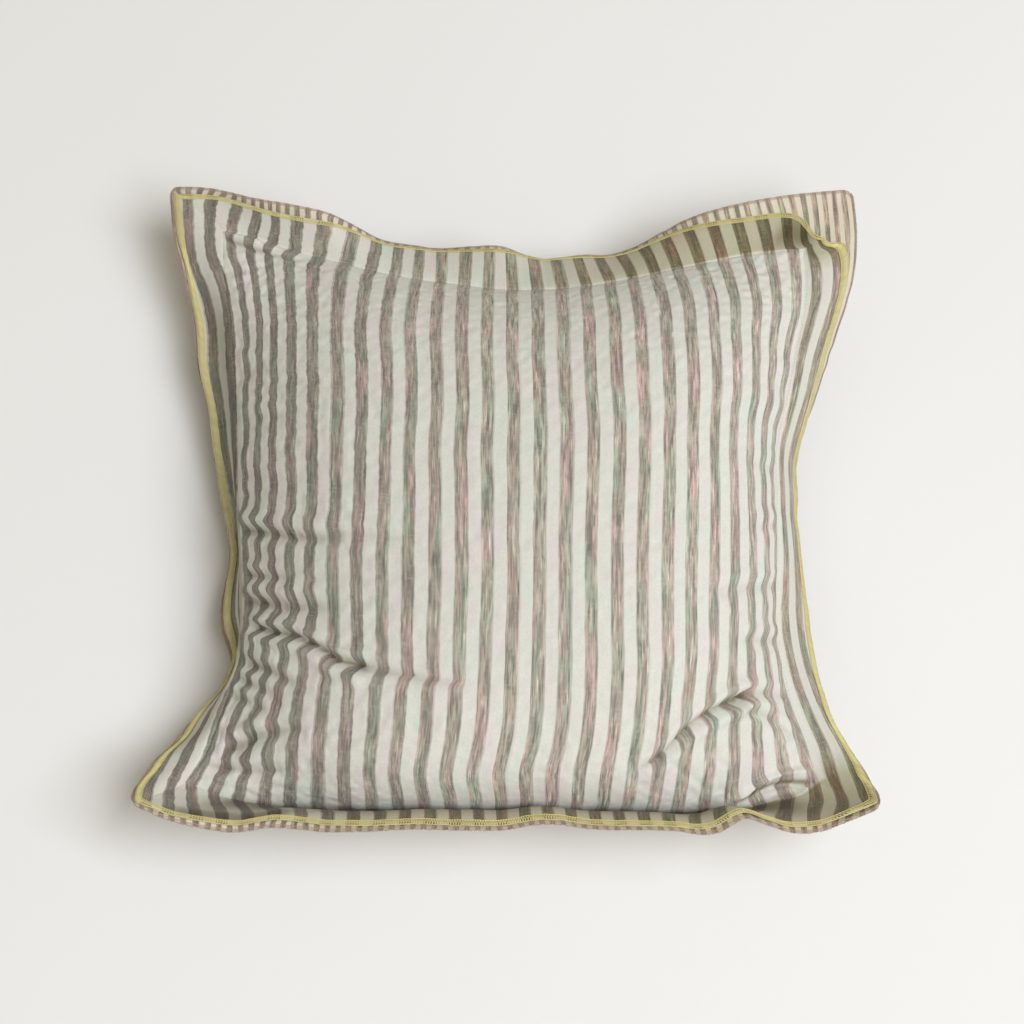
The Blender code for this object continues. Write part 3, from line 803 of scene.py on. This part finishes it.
def flangeShade(place, share):
    # Painted shade: windows round the pillow times bells across the flange
    shade = 0 * share
    for dark in shadowed:
        window = faded((place - dark["from"]) / dark["fade"]) * faded((dark["to"] - place) / dark["fade"])
        shade = shade + dark["strength"] * window * np.exp(-((share - dark["at"]) / dark["reach"])**2)
    return np.clip(shade, 0, 1)


def bandFaces(around, across):
    # Closed tube of quads: both directions run round
    index = np.arange(around * across).reshape(around, across)
    nextAround, nextAcross = np.roll(index, -1, axis=0), np.roll(index, -1, axis=1)
    both = np.roll(nextAround, -1, axis=1)
    return np.stack([index, nextAcross, both, nextAround], axis=-1).reshape(-1, 4)


def flangeCloth(name, middle, rows, outer, front, material):
    # Profile carried round the pillow: upper face from the root to the edge, lower face back again
    place = np.linspace(0.0, 4.0, flange["around"], endpoint=False)[:, None]
    out = (np.linspace(0.0, 1.0, rows)**flange["rowPower"])[None, :]
    root = flange["root"] / pillow["flangeWidth"]
    share = root + (outer(place) - root) * out
    thick = pillow["cloth"] / 2
    upper = flangeAt(place, share, (middle + thick) * pressed(share), front)
    lower = flangeAt(place, share, (middle - thick) * pressed(share), front)
    points = np.concatenate([upper, lower[:, ::-1]], axis=1)
    flat = panelPlace(place + 0 * share, share)
    if front:
        flat[..., 0] -= stripeSway(flat[..., 0], flat[..., 1])
    places = np.concatenate([flat, flat[:, ::-1]], axis=1)
    faces = bandFaces(points.shape[0], points.shape[1])
    item = addPiece(name, points.reshape(-1, 3), faces[:, ::-1], places.reshape(-1, 2), [material])
    if front:
        # Painted shade of the front flange's dark places
        shade = flangeShade(place, share)
        addShade(item, np.concatenate([shade, shade[:, ::-1]], axis=1))
    return item


# Threads
overlocks = {
    "front": {"width": 0.0045, "pitch": 0.0018, "radius": 0.00029, "seed": 51},    # yellow-green
    "back": {"width": 0.0013, "pitch": 0.0021, "radius": 0.00016, "seed": 61},     # rose
    "loose": 0.00016,         # how unevenly the loops lie
    "edgeLength": 1.6,        # flange widths that make the edge's side longer than the seam's
}
# Share of the front overlock's width on each side of the pillow
bite = {"top": 0.60, "right": 1.35, "bottom": 0.50, "left": 1.30}
stitches = {
    "length": 0.0030,         # from one stitch to the next along the seam
    "on": 0.72,               # share of it that lies on top
    "radius": 0.00015,
    "thinEnds": 0.35,         # share of the radius left at a stitch's ends
    "out": 0.0009,            # distance outside the seam
    "sunk": 0.00026,          # depth of its ends in the cloth
    "bow": 0.00015,           # rise of its middle
    "rings": 7,
    "ringSides": 6,
}


def biteAt(place):
    # Even along each side, changing over a tenth of a side at the corners
    ends = np.concatenate([[number + 0.05, number + 0.95] for number in range(4)])
    return np.interp(place, ends, np.repeat([bite[name] for name in sides], 2), period=4.0)


def tubeMesh(path, up, radius, ringSides):
    # Closed tube round a closed path: rings in the plane of the sideways and the upward direction
    way = unit(np.roll(path, -1, axis=0) - np.roll(path, 1, axis=0))
    side = unit(np.cross(way, up))
    rise = np.cross(side, way)
    angle = 2 * np.pi * np.arange(ringSides) / ringSides
    ring = side[:, None] * np.cos(angle)[:, None] + rise[:, None] * np.sin(angle)[:, None]
    points = path[:, None] + ring * radius
    length = summed(np.linalg.norm(np.diff(path, axis=0), axis=1))
    places = np.stack(np.broadcast_arrays(length[:, None], angle[None, :] / (2 * np.pi)), axis=-1)
    return points.reshape(-1, 3), bandFaces(len(path), ringSides), places.reshape(-1, 2)


def joinMeshes(parts):
    # Points, faces and places of every part, each part's faces counted on from the last
    points, faces, places = zip(*parts)
    starts = np.cumsum([0, *(len(part) for part in points[:-1])])
    faces = [part + start for part, start in zip(faces, starts)]
    return np.concatenate(points), np.concatenate(faces), np.concatenate(places)


def edgeThread(pattern, pitch, radius, ringSides, edge, lift, front, seed):
    # One stitch's points repeated round the edge. Pattern columns: place along the stitch, distance in
    # from the edge, height over the cloth's middle, and how far the tube's upward side leans outwards
    edgeSide = pillow["seamSide"] + overlocks["edgeLength"] * pillow["flangeWidth"]
    count = int(round(4 * edgeSide / pitch))
    along, inward, height, leaning = (np.array(column) for column in zip(*pattern))
    place = (np.arange(count)[:, None] + along[None, :]) * 4.0 / count
    loose = np.random.default_rng(seed).normal(0, 1, (count, len(pattern)))
    inward = inward[None, :] + overlocks["loose"] * loose
    inward = inward * (biteAt(place) if front else 1)
    share = edge(place) - inward / pillow["flangeWidth"]
    point = flangeAt(place, share, lift + height[None, :], front)
    normal = flangeNormal(place, share, front)
    outward = unit(flangeBase(place, share + 0.02, front) - flangeBase(place, share, front))
    lean = leaning[None, :, None] + 0 * outward
    up = np.cos(lean) * normal + np.sin(lean) * outward
    return tubeMesh(point.reshape(-1, 3), up.reshape(-1, 3), radius, ringSides)


def overlock(name, values, middle, edge, front, material):
    # Upper looper zigzags on top, lower looper underneath, both meet in a chain on the raw edge, and
    # the needle's thread runs along the inner side
    width, pitch, radius, seed = values["width"], values["pitch"], values["radius"], values["seed"]
    top, low = pillow["cloth"] / 2 + radius, -pillow["cloth"] / 2 - radius
    upper = [(0.00, 0.0000, top * 0.8, 0.5), (0.10, width * 0.20, top, 0), (0.42, width * 0.92, top, 0),
             (0.50, width, top, 0), (0.58, width * 0.92, top, 0), (0.90, width * 0.20, top, 0)]
    lower = [(0.50, -radius, low * 0.8, 2.6), (0.75, width * 0.5, low, 3.14),
             (1.00, width * 0.9, low, 3.14), (1.25, width * 0.5, low, 3.14)]
    needle = [(0.0, width, top * 1.05, 0), (0.5, width * 1.02, top * 1.25, 0)]
    chain = [(0.0, -radius * 0.6, top * 0.65, 0.8), (0.5, -radius * 1.6, 0, 1.57)]
    second = [(0.0, -radius * 1.5, 0, 1.57), (0.5, -radius * 0.6, low * 0.65, 2.4)]
    rows = [(upper, 1, 5), (lower, 1, 4), (needle, 1, 5), (chain, 1.15, 5), (second, 1.15, 4)]
    parts = [edgeThread(pattern, pitch, radius * thick, ringSides, edge, middle, front, seed + number)
             for number, (pattern, thick, ringSides) in enumerate(rows)]
    points, faces, places = joinMeshes(parts)
    return addPiece(name, points, faces, places, [material])


def runningStitch(name, material):
    # Short capsules along the seam on both faces, each sinking into the cloth at its ends
    rings, ringSides = stitches["rings"], stitches["ringSides"]
    count = int(round(4 * pillow["seamSide"] / stitches["length"]))
    along = np.linspace(-0.5, 0.5, rings)
    bow = np.sqrt(np.clip(1 - (2 * along)**2, 0.0, 1.0))
    angle = 2 * np.pi * np.arange(ringSides) / ringSides
    cosine, sine = np.cos(angle)[:, None], np.sin(angle)[:, None]
    thin = stitches["thinEnds"]
    radius = stitches["radius"] * (thin + (1 - thin) * bow)[None, :, None, None]
    place = (np.arange(count)[:, None] + 0.5 + stitches["on"] * along[None, :]) * 4.0 / count
    share = np.full_like(place, stitches["out"] / pillow["flangeWidth"])
    shell = (pillow["cloth"] + pillow["gap"] / 2) * pressed(share)
    up = flangeNormal(place, share)
    index = np.arange(rings * ringSides).reshape(rings, ringSides)
    turned = np.roll(index, -1, axis=1)
    wall = np.stack([index[:-1], turned[:-1], turned[1:], index[1:]], axis=-1).reshape(-1, 4)
    cap = np.array([[0, 5, 4, 3], [0, 3, 2, 1]])
    one = np.concatenate([wall, cap, (rings - 1) * ringSides + cap[:, ::-1]])
    faces = (one[None] + (np.arange(count) * rings * ringSides)[:, None, None]).reshape(-1, 4)
    length = np.arange(count)[:, None, None] + along[None, :, None] + 0 * angle[None, None, :]
    around = 0 * length + angle[None, None, :] / (2 * np.pi)
    places = np.stack([length * stitches["length"], around], axis=-1).reshape(-1, 2)
    parts = []
    for face in (1, -1):
        path = flangeAt(place, share, face * (shell - stitches["sunk"] + stitches["bow"] * bow[None, :]))
        way = unit(np.gradient(path, axis=1))
        side = unit(np.cross(way, up))
        ring = side[:, :, None] * cosine + np.cross(side, way)[:, :, None] * sine
        parts.append(((path[:, :, None] + ring * radius).reshape(-1, 3), faces, places))
    points, faces, places = joinMeshes(parts)
    return addPiece(name, points, faces, places, [material])


# Materials
def newGroup(name, inputs, outputs):
    # Node group with named sockets: its tree, what it is given and what it gives
    group = bpy.data.node_groups.new(name, "ShaderNodeTree")
    for socketName, kind, value in inputs:
        socket = group.interface.new_socket(name=socketName, in_out="INPUT",
                                            socket_type="NodeSocket" + kind)
        if value is not None:
            socket.default_value = value
    for socketName, kind in outputs:
        group.interface.new_socket(name=socketName, in_out="OUTPUT", socket_type="NodeSocket" + kind)
    return group, group.nodes.new("NodeGroupInput").outputs, group.nodes.new("NodeGroupOutput").inputs


def valueRows(values):
    # A colour input for each tuple and a plain one for each number, with that value to start from
    return [(name, "Color" if isinstance(value, tuple) else "Float", value)
            for name, value in values.items()]


class Wiring:
    # Short ways to add and join nodes in one tree; each gives the new node's output
    def __init__(self, tree):
        self.tree = tree

    def node(self, kind, values=(), **settings):
        # Values fill the node's first inputs in their order
        made = self.tree.nodes.new("ShaderNode" + kind)
        for key, value in settings.items():
            setattr(made, key, value)
        for value, socket in zip(values, made.inputs):
            self.plug(value, socket)
        return made

    def fill(self, node, values):
        for name, value in values.items():
            self.plug(value, node.inputs[name])
        return node.outputs

    def plug(self, source, socket):
        if isinstance(source, bpy.types.NodeSocket):
            self.tree.links.new(source, socket)
        else:
            socket.default_value = source

    def math(self, operation, a, b=0.0, c=0.0, clamp=False):
        return self.node("Math", (a, b, c), operation=operation, use_clamp=clamp).outputs[0]

    def plus(self, a, b):
        return self.math("ADD", a, b)

    def minus(self, a, b):
        return self.math("SUBTRACT", a, b)

    def times(self, a, b):
        return self.math("MULTIPLY", a, b)

    def over(self, a, b):
        return self.math("DIVIDE", a, b)

    def spread(self, value, low, high, toLow=0.0, toHigh=1.0):
        return self.node("MapRange", (value, low, high, toLow, toHigh)).outputs[0]

    def mix(self, share, a, b, blend="MIX"):
        made = self.node("Mix", data_type="RGBA", blend_type=blend)
        for value, number in ((share, 0), (a, 6), (b, 7)):
            self.plug(value, made.inputs[number])
        return made.outputs[2]

    def dimmed(self, colour, red, green, blue):
        return self.mix(1.0, colour, self.vector(red, green, blue), "MULTIPLY")

    def vector(self, x, y, z=0.0):
        return self.node("CombineXYZ", (x, y, z)).outputs[0]

    def split(self, vector):
        return self.node("SeparateXYZ", (vector,)).outputs

    def noise(self, vector, detail=2.0, roughness=0.5):
        return self.fill(self.node("TexNoise", noise_dimensions="3D"), {
            "Vector": vector, "Scale": 1.0, "Detail": detail, "Roughness": roughness})["Fac"]

    def white(self, value):
        return self.fill(self.node("TexWhiteNoise", noise_dimensions="1D"), {"W": value})["Value"]

    def bump(self, height, strength, distance, **under):
        values = {"Height": height, "Strength": strength, "Distance": distance, **under}
        return self.fill(self.node("Bump"), values)[0]

    def group(self, tree, values):
        return self.fill(self.node("Group", node_tree=tree), values)


# Outside the seam, along the top and the bottom, the cloth's tones are darkened further by painted shade
stripes = {
    "wide": {"Stripe Pitch": 0.01766, "Stripe Shift": -0.145 * 0.01766, "Dark Share": 0.505,
             "Thread Pitch": 0.01766 / 30, "Dye Length": 0.032, "Ripple": 0.0016,
             # Depths: the dark threads are painted darker towards the left, where the flank lies in shade,
             # and lighter towards the right
             "Shaded Left Depth": 0.53, "Lit Right Depth": 1.02, "Unbacked": 0.08, "Top Painted Shade": 0.30,
             "Bottom Painted Shade": 0.28,
             "Dark": (0.331, 0.292, 0.240, 1), "Brown": (0.300, 0.230, 0.184, 1),
             "Green": (0.273, 0.304, 0.231, 1), "Rose": (0.415, 0.282, 0.268, 1),
             "Pale": (0.725, 0.718, 0.660, 1), "Pale Rose": (0.740, 0.690, 0.675, 1),
             "Pale Green": (0.690, 0.730, 0.660, 1)},
    "narrow": {"Stripe Pitch": 0.0076, "Stripe Shift": 0.0039, "Dark Share": 0.52,
               "Thread Pitch": 0.0076 / 14, "Dye Length": 0.032, "Ripple": 0.002,
               "Shaded Left Depth": 0.78, "Lit Right Depth": 1.30, "Unbacked": 0.05, "Top Painted Shade": 0.0,
               "Bottom Painted Shade": 0.20,
               "Dark": (0.290, 0.230, 0.180, 1), "Brown": (0.240, 0.165, 0.120, 1),
               "Green": (0.250, 0.240, 0.175, 1), "Rose": (0.360, 0.260, 0.230, 1),
               "Pale": (0.740, 0.680, 0.560, 1), "Pale Rose": (0.750, 0.650, 0.560, 1),
               "Pale Green": (0.680, 0.670, 0.540, 1)},
}
# Painted shade: share of each colour that full shade takes away
paintedShadeTone = (0.66, 0.70, 0.78)        # share of each colour that the deepest crease takes away
# Thread colours: the darker one serves both the slow drift of the thread's colour and the painted shade in
# the grooves between its plies
threadColours = {
    "yellowGreen": {"Colour": (0.820, 0.745, 0.345, 1), "Drift And Ply Shade": (0.540, 0.460, 0.180, 1)},
    "rose": {"Colour": (0.580, 0.440, 0.380, 1), "Drift And Ply Shade": (0.420, 0.290, 0.240, 1)},
    "taupe": {"Colour": (0.500, 0.470, 0.410, 1), "Drift And Ply Shade": (0.440, 0.410, 0.350, 1)},
}
# Noises of the striped cloth. Columns: cells to the metre across and along the threads, or to the
# thread and to the dye's length where the cloth counts in those, then layer of the noise and detail
mottles = {
    "ripple": (40.0, 210.0, 0.0, 0.0),
    "drift": (12.0, 40.0, 5.2, 0.0),
    "hue": (150.0, 0.8, 1.7, 2.0),
    "warmth": (190.0, 1.0, 9.3, 2.0),
    "streak": (5.17, 1.2, 2.2, 2.0),
    "fine": (7.31, 2.0, 4.2, 2.0),
    "line": (3.31, 2.4, 8.8, 1.0),
    "paleTone": (55.0, 25.0, 6.1, 1.0),
    "grain": (700.0, 700.0, 3.3, 2.0),
    "fleck": (260.0, 1500.0, 2.5, 1.0),
    "broken": (95.0, 2.7, 7.7, 1.0),
}


def stripeGroup():
    # Warp stripes of space-dyed threads. Each thread keeps one place across the cloth and changes its
    # tone along its length; three neighbours dyed together make a streak. The pale weft shows between
    # the threads as a plain weave, and a thick weft thread here and there as a broken light line.
    # Outside the seam no white filling lies under the cloth, so there it is a little darker, and along
    # the top and the bottom painted shade darkens it further.
    group, given, result = newGroup("stripedWeave", [
        ("Cloth", "Vector", None), *valueRows(stripes["wide"])],
        [("Colour", "Color"), ("Height", "Float"), ("Roughness", "Float")])
    w = Wiring(group)

    def mottle(name, across, along):
        acrossScale, alongScale, layer, detail = mottles[name]
        return w.noise(w.vector(w.times(across, acrossScale), w.times(along, alongScale), layer), detail)

    # Place among the threads, with stripes that ripple most in the slack cloth of the left side
    flatX, y, _ = w.split(given["Cloth"])
    rippled = w.times(given["Ripple"], w.spread(flatX, -0.14, -0.02, 1.0, 0.15))
    x = w.math("MULTIPLY_ADD", w.minus(mottle("ripple", flatX, y), 0.5), rippled, flatX)
    x = w.math("MULTIPLY_ADD", w.minus(mottle("drift", flatX, y), 0.5), w.times(given["Ripple"], 0.6), x)
    number = w.math("FLOOR", w.over(x, given["Thread Pitch"]))
    bundle = w.math("FLOOR", w.over(x, w.times(given["Thread Pitch"], 3.0)))
    centre = w.times(w.plus(number, 0.5), given["Thread Pitch"])
    chance = w.white(number)

    # Dark where the thread lies within half the dark share of a stripe's middle, give or take a thread
    phase = w.over(w.minus(centre, given["Stripe Shift"]), given["Stripe Pitch"])
    offCentre = w.math("ABSOLUTE", w.minus(w.math("FRACT", w.plus(phase, 100.5)), 0.5))
    offCentre = w.math("MULTIPLY_ADD", w.minus(chance, 0.5), 0.045, offCentre)
    reach = w.times(given["Dark Share"], 0.5)
    inDark = w.spread(offCentre, w.plus(reach, 0.030), w.minus(reach, 0.030))

    # Dark threads: hue drifts between the four colours, and the dye's depth between weak and strong
    along = w.over(y, given["Dye Length"])
    hue = mottle("hue", x, along)
    dark = w.mix(w.spread(mottle("warmth", x, along), 0.48, 0.62), given["Dark"], given["Brown"])
    dark = w.mix(w.spread(hue, 0.48, 0.37, 0.0, 0.95), dark, given["Green"])
    dark = w.mix(w.spread(hue, 0.56, 0.66), dark, given["Rose"])
    streak = w.times(mottle("streak", bundle, along), 0.6)
    depth = w.plus(streak, w.times(mottle("fine", number, along), 0.4))
    depth = w.spread(depth, 0.37, 0.63, 0.45, 1.75)
    line = mottle("line", number, along)
    depth = w.times(depth, w.spread(line, 0.58, 0.66, 1.0, 0.48))
    depth = w.times(depth, w.spread(line, 0.38, 0.30, 1.0, 1.55))
    # Painted shade: dark threads darker towards the shaded left side, lighter towards the lit right side
    depth = w.times(depth, w.spread(flatX, -0.19, -0.02, given["Shaded Left Depth"], given["Lit Right Depth"]))
    dark = w.dimmed(dark, depth, depth, depth)

    # Pale threads: broad tints and a fine grain
    paleTone = mottle("paleTone", x, y)
    pale = w.mix(w.spread(paleTone, 0.52, 0.68), given["Pale"], given["Pale Rose"])
    pale = w.mix(w.spread(paleTone, 0.48, 0.32), pale, given["Pale Green"])
    grain = w.spread(mottle("grain", x, y), 0.3, 0.7, 0.955, 1.045)
    shade = w.plus(w.spread(chance, 0.0, 1.0, -0.015, 0.015), grain)
    pale = w.dimmed(pale, shade, shade, shade)

    # Cloth without filling under it, outside the seam, is a little darker; painted shade darkens it more
    # along the top's right part and most of the bottom
    fromMiddle = w.math("MAXIMUM", w.math("ABSOLUTE", flatX), w.math("ABSOLUTE", y))
    atTop = w.times(w.spread(y, 0.200, 0.222), w.spread(flatX, -0.02, 0.10))
    atBottom = w.times(w.spread(y, -0.200, -0.222), w.spread(flatX, -0.18, -0.10))
    amount = w.plus(given["Unbacked"], w.times(atTop, given["Top Painted Shade"]))
    amount = w.plus(amount, w.times(atBottom, given["Bottom Painted Shade"]))
    amount = w.times(amount, w.spread(fromMiddle, half - 0.001, half + 0.002))
    tint = [w.minus(1.0, w.times(amount, share)) for share in (0.9, 1.0, 1.35)]
    pale = w.dimmed(pale, *tint)
    dark = w.dimmed(dark, *(w.math("POWER", share, 2.7) for share in tint))

    # Weft: shows in the weave's gaps, in flecks and in a slub here and there
    fleck = w.spread(mottle("fleck", x, y), 0.58, 0.70, 0.0, 0.35)
    weft = w.math("FLOOR", w.over(y, given["Thread Pitch"]))
    broken = w.spread(mottle("broken", x, weft), 0.46, 0.60, 0.0, 0.28)
    slub = w.times(w.spread(w.white(w.plus(weft, 0.5)), 0.93, 0.96), broken)
    waves = [w.math("SINE", w.times(w.over(place, given["Thread Pitch"]), np.pi)) for place in (x, y)]
    over = w.times(*waves)
    weftShows = w.math("MAXIMUM", w.spread(over, 0.15, -0.15, 0.0, 0.30), fleck)
    weftShows = w.math("MAXIMUM", weftShows, slub)
    w.plug(w.mix(weftShows, w.mix(inDark, pale, dark), pale), result["Colour"])
    hump = w.plus(w.math("ABSOLUTE", over), w.times(chance, 0.25))
    w.plug(w.plus(hump, slub), result["Height"])
    w.plug(w.spread(w.plus(chance, fleck), 0.0, 1.3, 0.80, 0.95), result["Roughness"])
    return group


def crumpleGroup():
    # Small soft dents of washed cloth: noise of the given size
    group, given, result = newGroup("washedCrumple", [("Place", "Vector", None), ("Size", "Float", 0.006)],
                                    [("Height", "Float")])
    w = Wiring(group)
    scaled = w.node("VectorMath", (given["Place"],), operation="SCALE")
    w.plug(w.over(1.0, given["Size"]), scaled.inputs["Scale"])
    w.plug(w.noise(scaled.outputs[0], 3.0, 0.55), result["Height"])
    return group


def threadGroup():
    # Twisted thread: plies wind round as lines slanting along the thread, with painted shade in the
    # grooves between them, and its colour drifts slowly
    group, given, result = newGroup("twistedThread", [
        ("Thread", "Vector", None), ("Twist", "Float", 0.0009), *valueRows(threadColours["rose"])],
        [("Colour", "Color"), ("Height", "Float"), ("Roughness", "Float")])
    w = Wiring(group)
    along, around, _ = w.split(given["Thread"])
    turn = w.plus(w.over(along, given["Twist"]), around)
    ply = w.math("SINE", w.times(turn, 2 * np.pi))
    drift = w.noise(w.vector(w.times(along, 40.0), 0.3, 0.9))
    # Painted shade where the plies dip
    faint, paintedDarkening = w.spread(drift, 0.35, 0.7, 0.0, 0.45), w.spread(ply, 0.2, -0.9, 0.0, 0.4)
    share = w.math("ADD", faint, paintedDarkening, clamp=True)
    w.plug(w.mix(share, given["Colour"], given["Drift And Ply Shade"]), result["Colour"])
    w.plug(ply, result["Height"])
    w.plug(w.spread(drift, 0.3, 0.7, 0.55, 0.75), result["Roughness"])
    return group


weave, crumple, twist = stripeGroup(), crumpleGroup(), threadGroup()


def newMaterial(name):
    material = bpy.data.materials.new(name)
    material.use_nodes = True
    return material, Wiring(material.node_tree), material.node_tree.nodes["Principled BSDF"].inputs


def clothMaterial(name, values):
    # Striped weave darkened by painted shade in the creases, the seam's groove and the flange's dark
    # places, its threads raised over soft dents
    material, w, shader = newMaterial(name)
    place = w.node("UVMap", uv_map="cloth").outputs[0]
    cloth = w.group(weave, {"Cloth": place, **values})
    crease = w.node("Attribute", attribute_name="paintedShade").outputs["Fac"]
    # Painted shade from the point attribute darkens the weave's colour
    paintedDarkening = (w.math("MULTIPLY_ADD", crease, -share, 1.0) for share in paintedShadeTone)
    dents = w.bump(w.group(crumple, {"Place": place})["Height"], 0.40, 0.0008)
    w.plug(w.dimmed(cloth["Colour"], *paintedDarkening), shader["Base Color"])
    w.plug(cloth["Roughness"], shader["Roughness"])
    w.plug(w.bump(cloth["Height"], 0.5, 0.00012, Normal=dents), shader["Normal"])
    shader["Specular IOR Level"].default_value = 0.2
    shader["Sheen Weight"].default_value = 0.12
    shader["Sheen Roughness"].default_value = 0.6
    return material


def threadMaterial(name, values):
    # Twisted thread with its plies raised
    material, w, shader = newMaterial(name)
    spun = w.group(twist, {"Thread": w.node("UVMap", uv_map="cloth").outputs[0], **values})
    w.plug(spun["Colour"], shader["Base Color"])
    w.plug(spun["Roughness"], shader["Roughness"])
    w.plug(w.bump(spun["Height"], 0.4, 0.00006), shader["Normal"])
    shader["Specular IOR Level"].default_value = 0.35
    shader["Sheen Weight"].default_value = 0.1
    return material


wideStripes = clothMaterial("wide_stripe_cloth", stripes["wide"])
narrowStripes = clothMaterial("narrow_stripe_cloth", stripes["narrow"])
yellowGreenThread = threadMaterial("yellow_green_thread", threadColours["yellowGreen"])
roseThread = threadMaterial("rose_thread", threadColours["rose"])
taupeThread = threadMaterial("taupe_thread", threadColours["taupe"])
print("materials made")


def addBody():
    # Front grid in the wide stripes and back grid in the narrow ones, closed along the seam
    front, back, drawn, under, shade = filledBody()
    frontIndex, backIndex = closedGrid(pillow["cells"])
    points = joinFaces(front, back)
    places = joinFaces(drawn, under)[:, :2]
    frontFaces, backFaces = gridQuads(frontIndex), gridQuads(backIndex)[:, ::-1]
    faces = np.concatenate([frontFaces, backFaces])
    index = np.repeat([0, 1], [len(frontFaces), len(backFaces)])
    item = addPiece("filled_cushion", points, faces, places, [wideStripes, narrowStripes],
                    index)
    addShade(item, np.concatenate([shade.ravel(), np.zeros(len(points) - shade.size)]))
    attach(item, rootBody)
    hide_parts("cushion_body")
    return item


def hangOn(parent, item, *nodes):
    item.parent = parent
    if nodes:
        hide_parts(*nodes)


def frontEdge(place):
    # Share of the width where the front panel ends
    return rimAt("front", place) - cornerCut(place, flange["frontRound"])


def backEdge(place):
    # The whole width, less the rounded corners
    return 1 - cornerCut(place, flange["backRound"])


cushion = addBody()
middle = (pillow["cloth"] + pillow["gap"]) / 2        # height of the front flange over the seam's plane
frontFlange = flangeCloth("front_panel_flange", middle, flange["frontRows"], frontEdge, True,
                          wideStripes)
hangOn(cushion, frontFlange, "front_flange")
backFlange = flangeCloth("back_panel_flange", -middle, flange["backRows"], backEdge, False,
                         narrowStripes)
hangOn(cushion, backFlange, "back_flange")
frontEdging = overlock("yellow_green_overlock", overlocks["front"], middle, frontEdge, True,
                       yellowGreenThread)
hangOn(cushion, frontEdging, "front_edging")
backEdging = overlock("rose_overlock", overlocks["back"], -middle, backEdge, False,
                      roseThread)
hangOn(cushion, backEdging, "back_edging")
hangOn(cushion, runningStitch("seam_stitches", taupeThread))

# Stage
studio = {
    "floorSize": 6.0,
    "floor": (0.890, 0.890, 0.890),
    "mottle": 0.985,          # share of the floor's colour in its darker patches
    "world": (1.0, 0.905, 0.710),
    "worldStrength": 0.325,
    "key": {"place": (2.10, -1.45, 4.30), "size": 3.0, "power": 214.0, "colour": (0.965, 0.990, 1.030)},
}


def addLight(name, values):
    light = bpy.data.lights.new(name, "AREA")
    light.size = values["size"]
    light.energy = values["power"]
    light.color = values["colour"]
    item = bpy.data.objects.new(name, light)
    scene.collection.objects.link(item)
    item.location = values["place"]
    item.rotation_euler = (Vector(seamPlace) - item.location).to_track_quat("-Z", "Y").to_euler()


def addFloor():
    # Plain square with a faint mottle
    reach = studio["floorSize"] / 2
    mesh = bpy.data.meshes.new("floor")
    mesh.from_pydata([(-reach, -reach, 0), (reach, -reach, 0), (reach, reach, 0), (-reach, reach, 0)], [],
                     [(0, 1, 2, 3)])
    material, w, shader = newMaterial("pale_floor")
    patches = w.noise(w.node("TexCoord").outputs["Object"], 3.0)
    darker = [studio["mottle"] * part for part in studio["floor"]]
    colour = w.mix(w.spread(patches, 0.3, 0.7), (*darker, 1.0), (*studio["floor"], 1.0))
    w.plug(colour, shader["Base Color"])
    shader["Roughness"].default_value = 0.9
    shader["Specular IOR Level"].default_value = 0.1
    mesh.materials.append(material)
    item = bpy.data.objects.new("floor", mesh)
    scene.collection.objects.link(item)


def addWorld():
    world = bpy.data.worlds.new("studio")
    world.use_nodes = True
    shade = world.node_tree.nodes["Background"]
    shade.inputs["Color"].default_value = (*studio["world"], 1.0)
    shade.inputs["Strength"].default_value = studio["worldStrength"]
    scene.world = world


addFloor()
addWorld()
addLight("key", studio["key"])
scene.view_settings.view_transform = "Standard"
print("stage set")
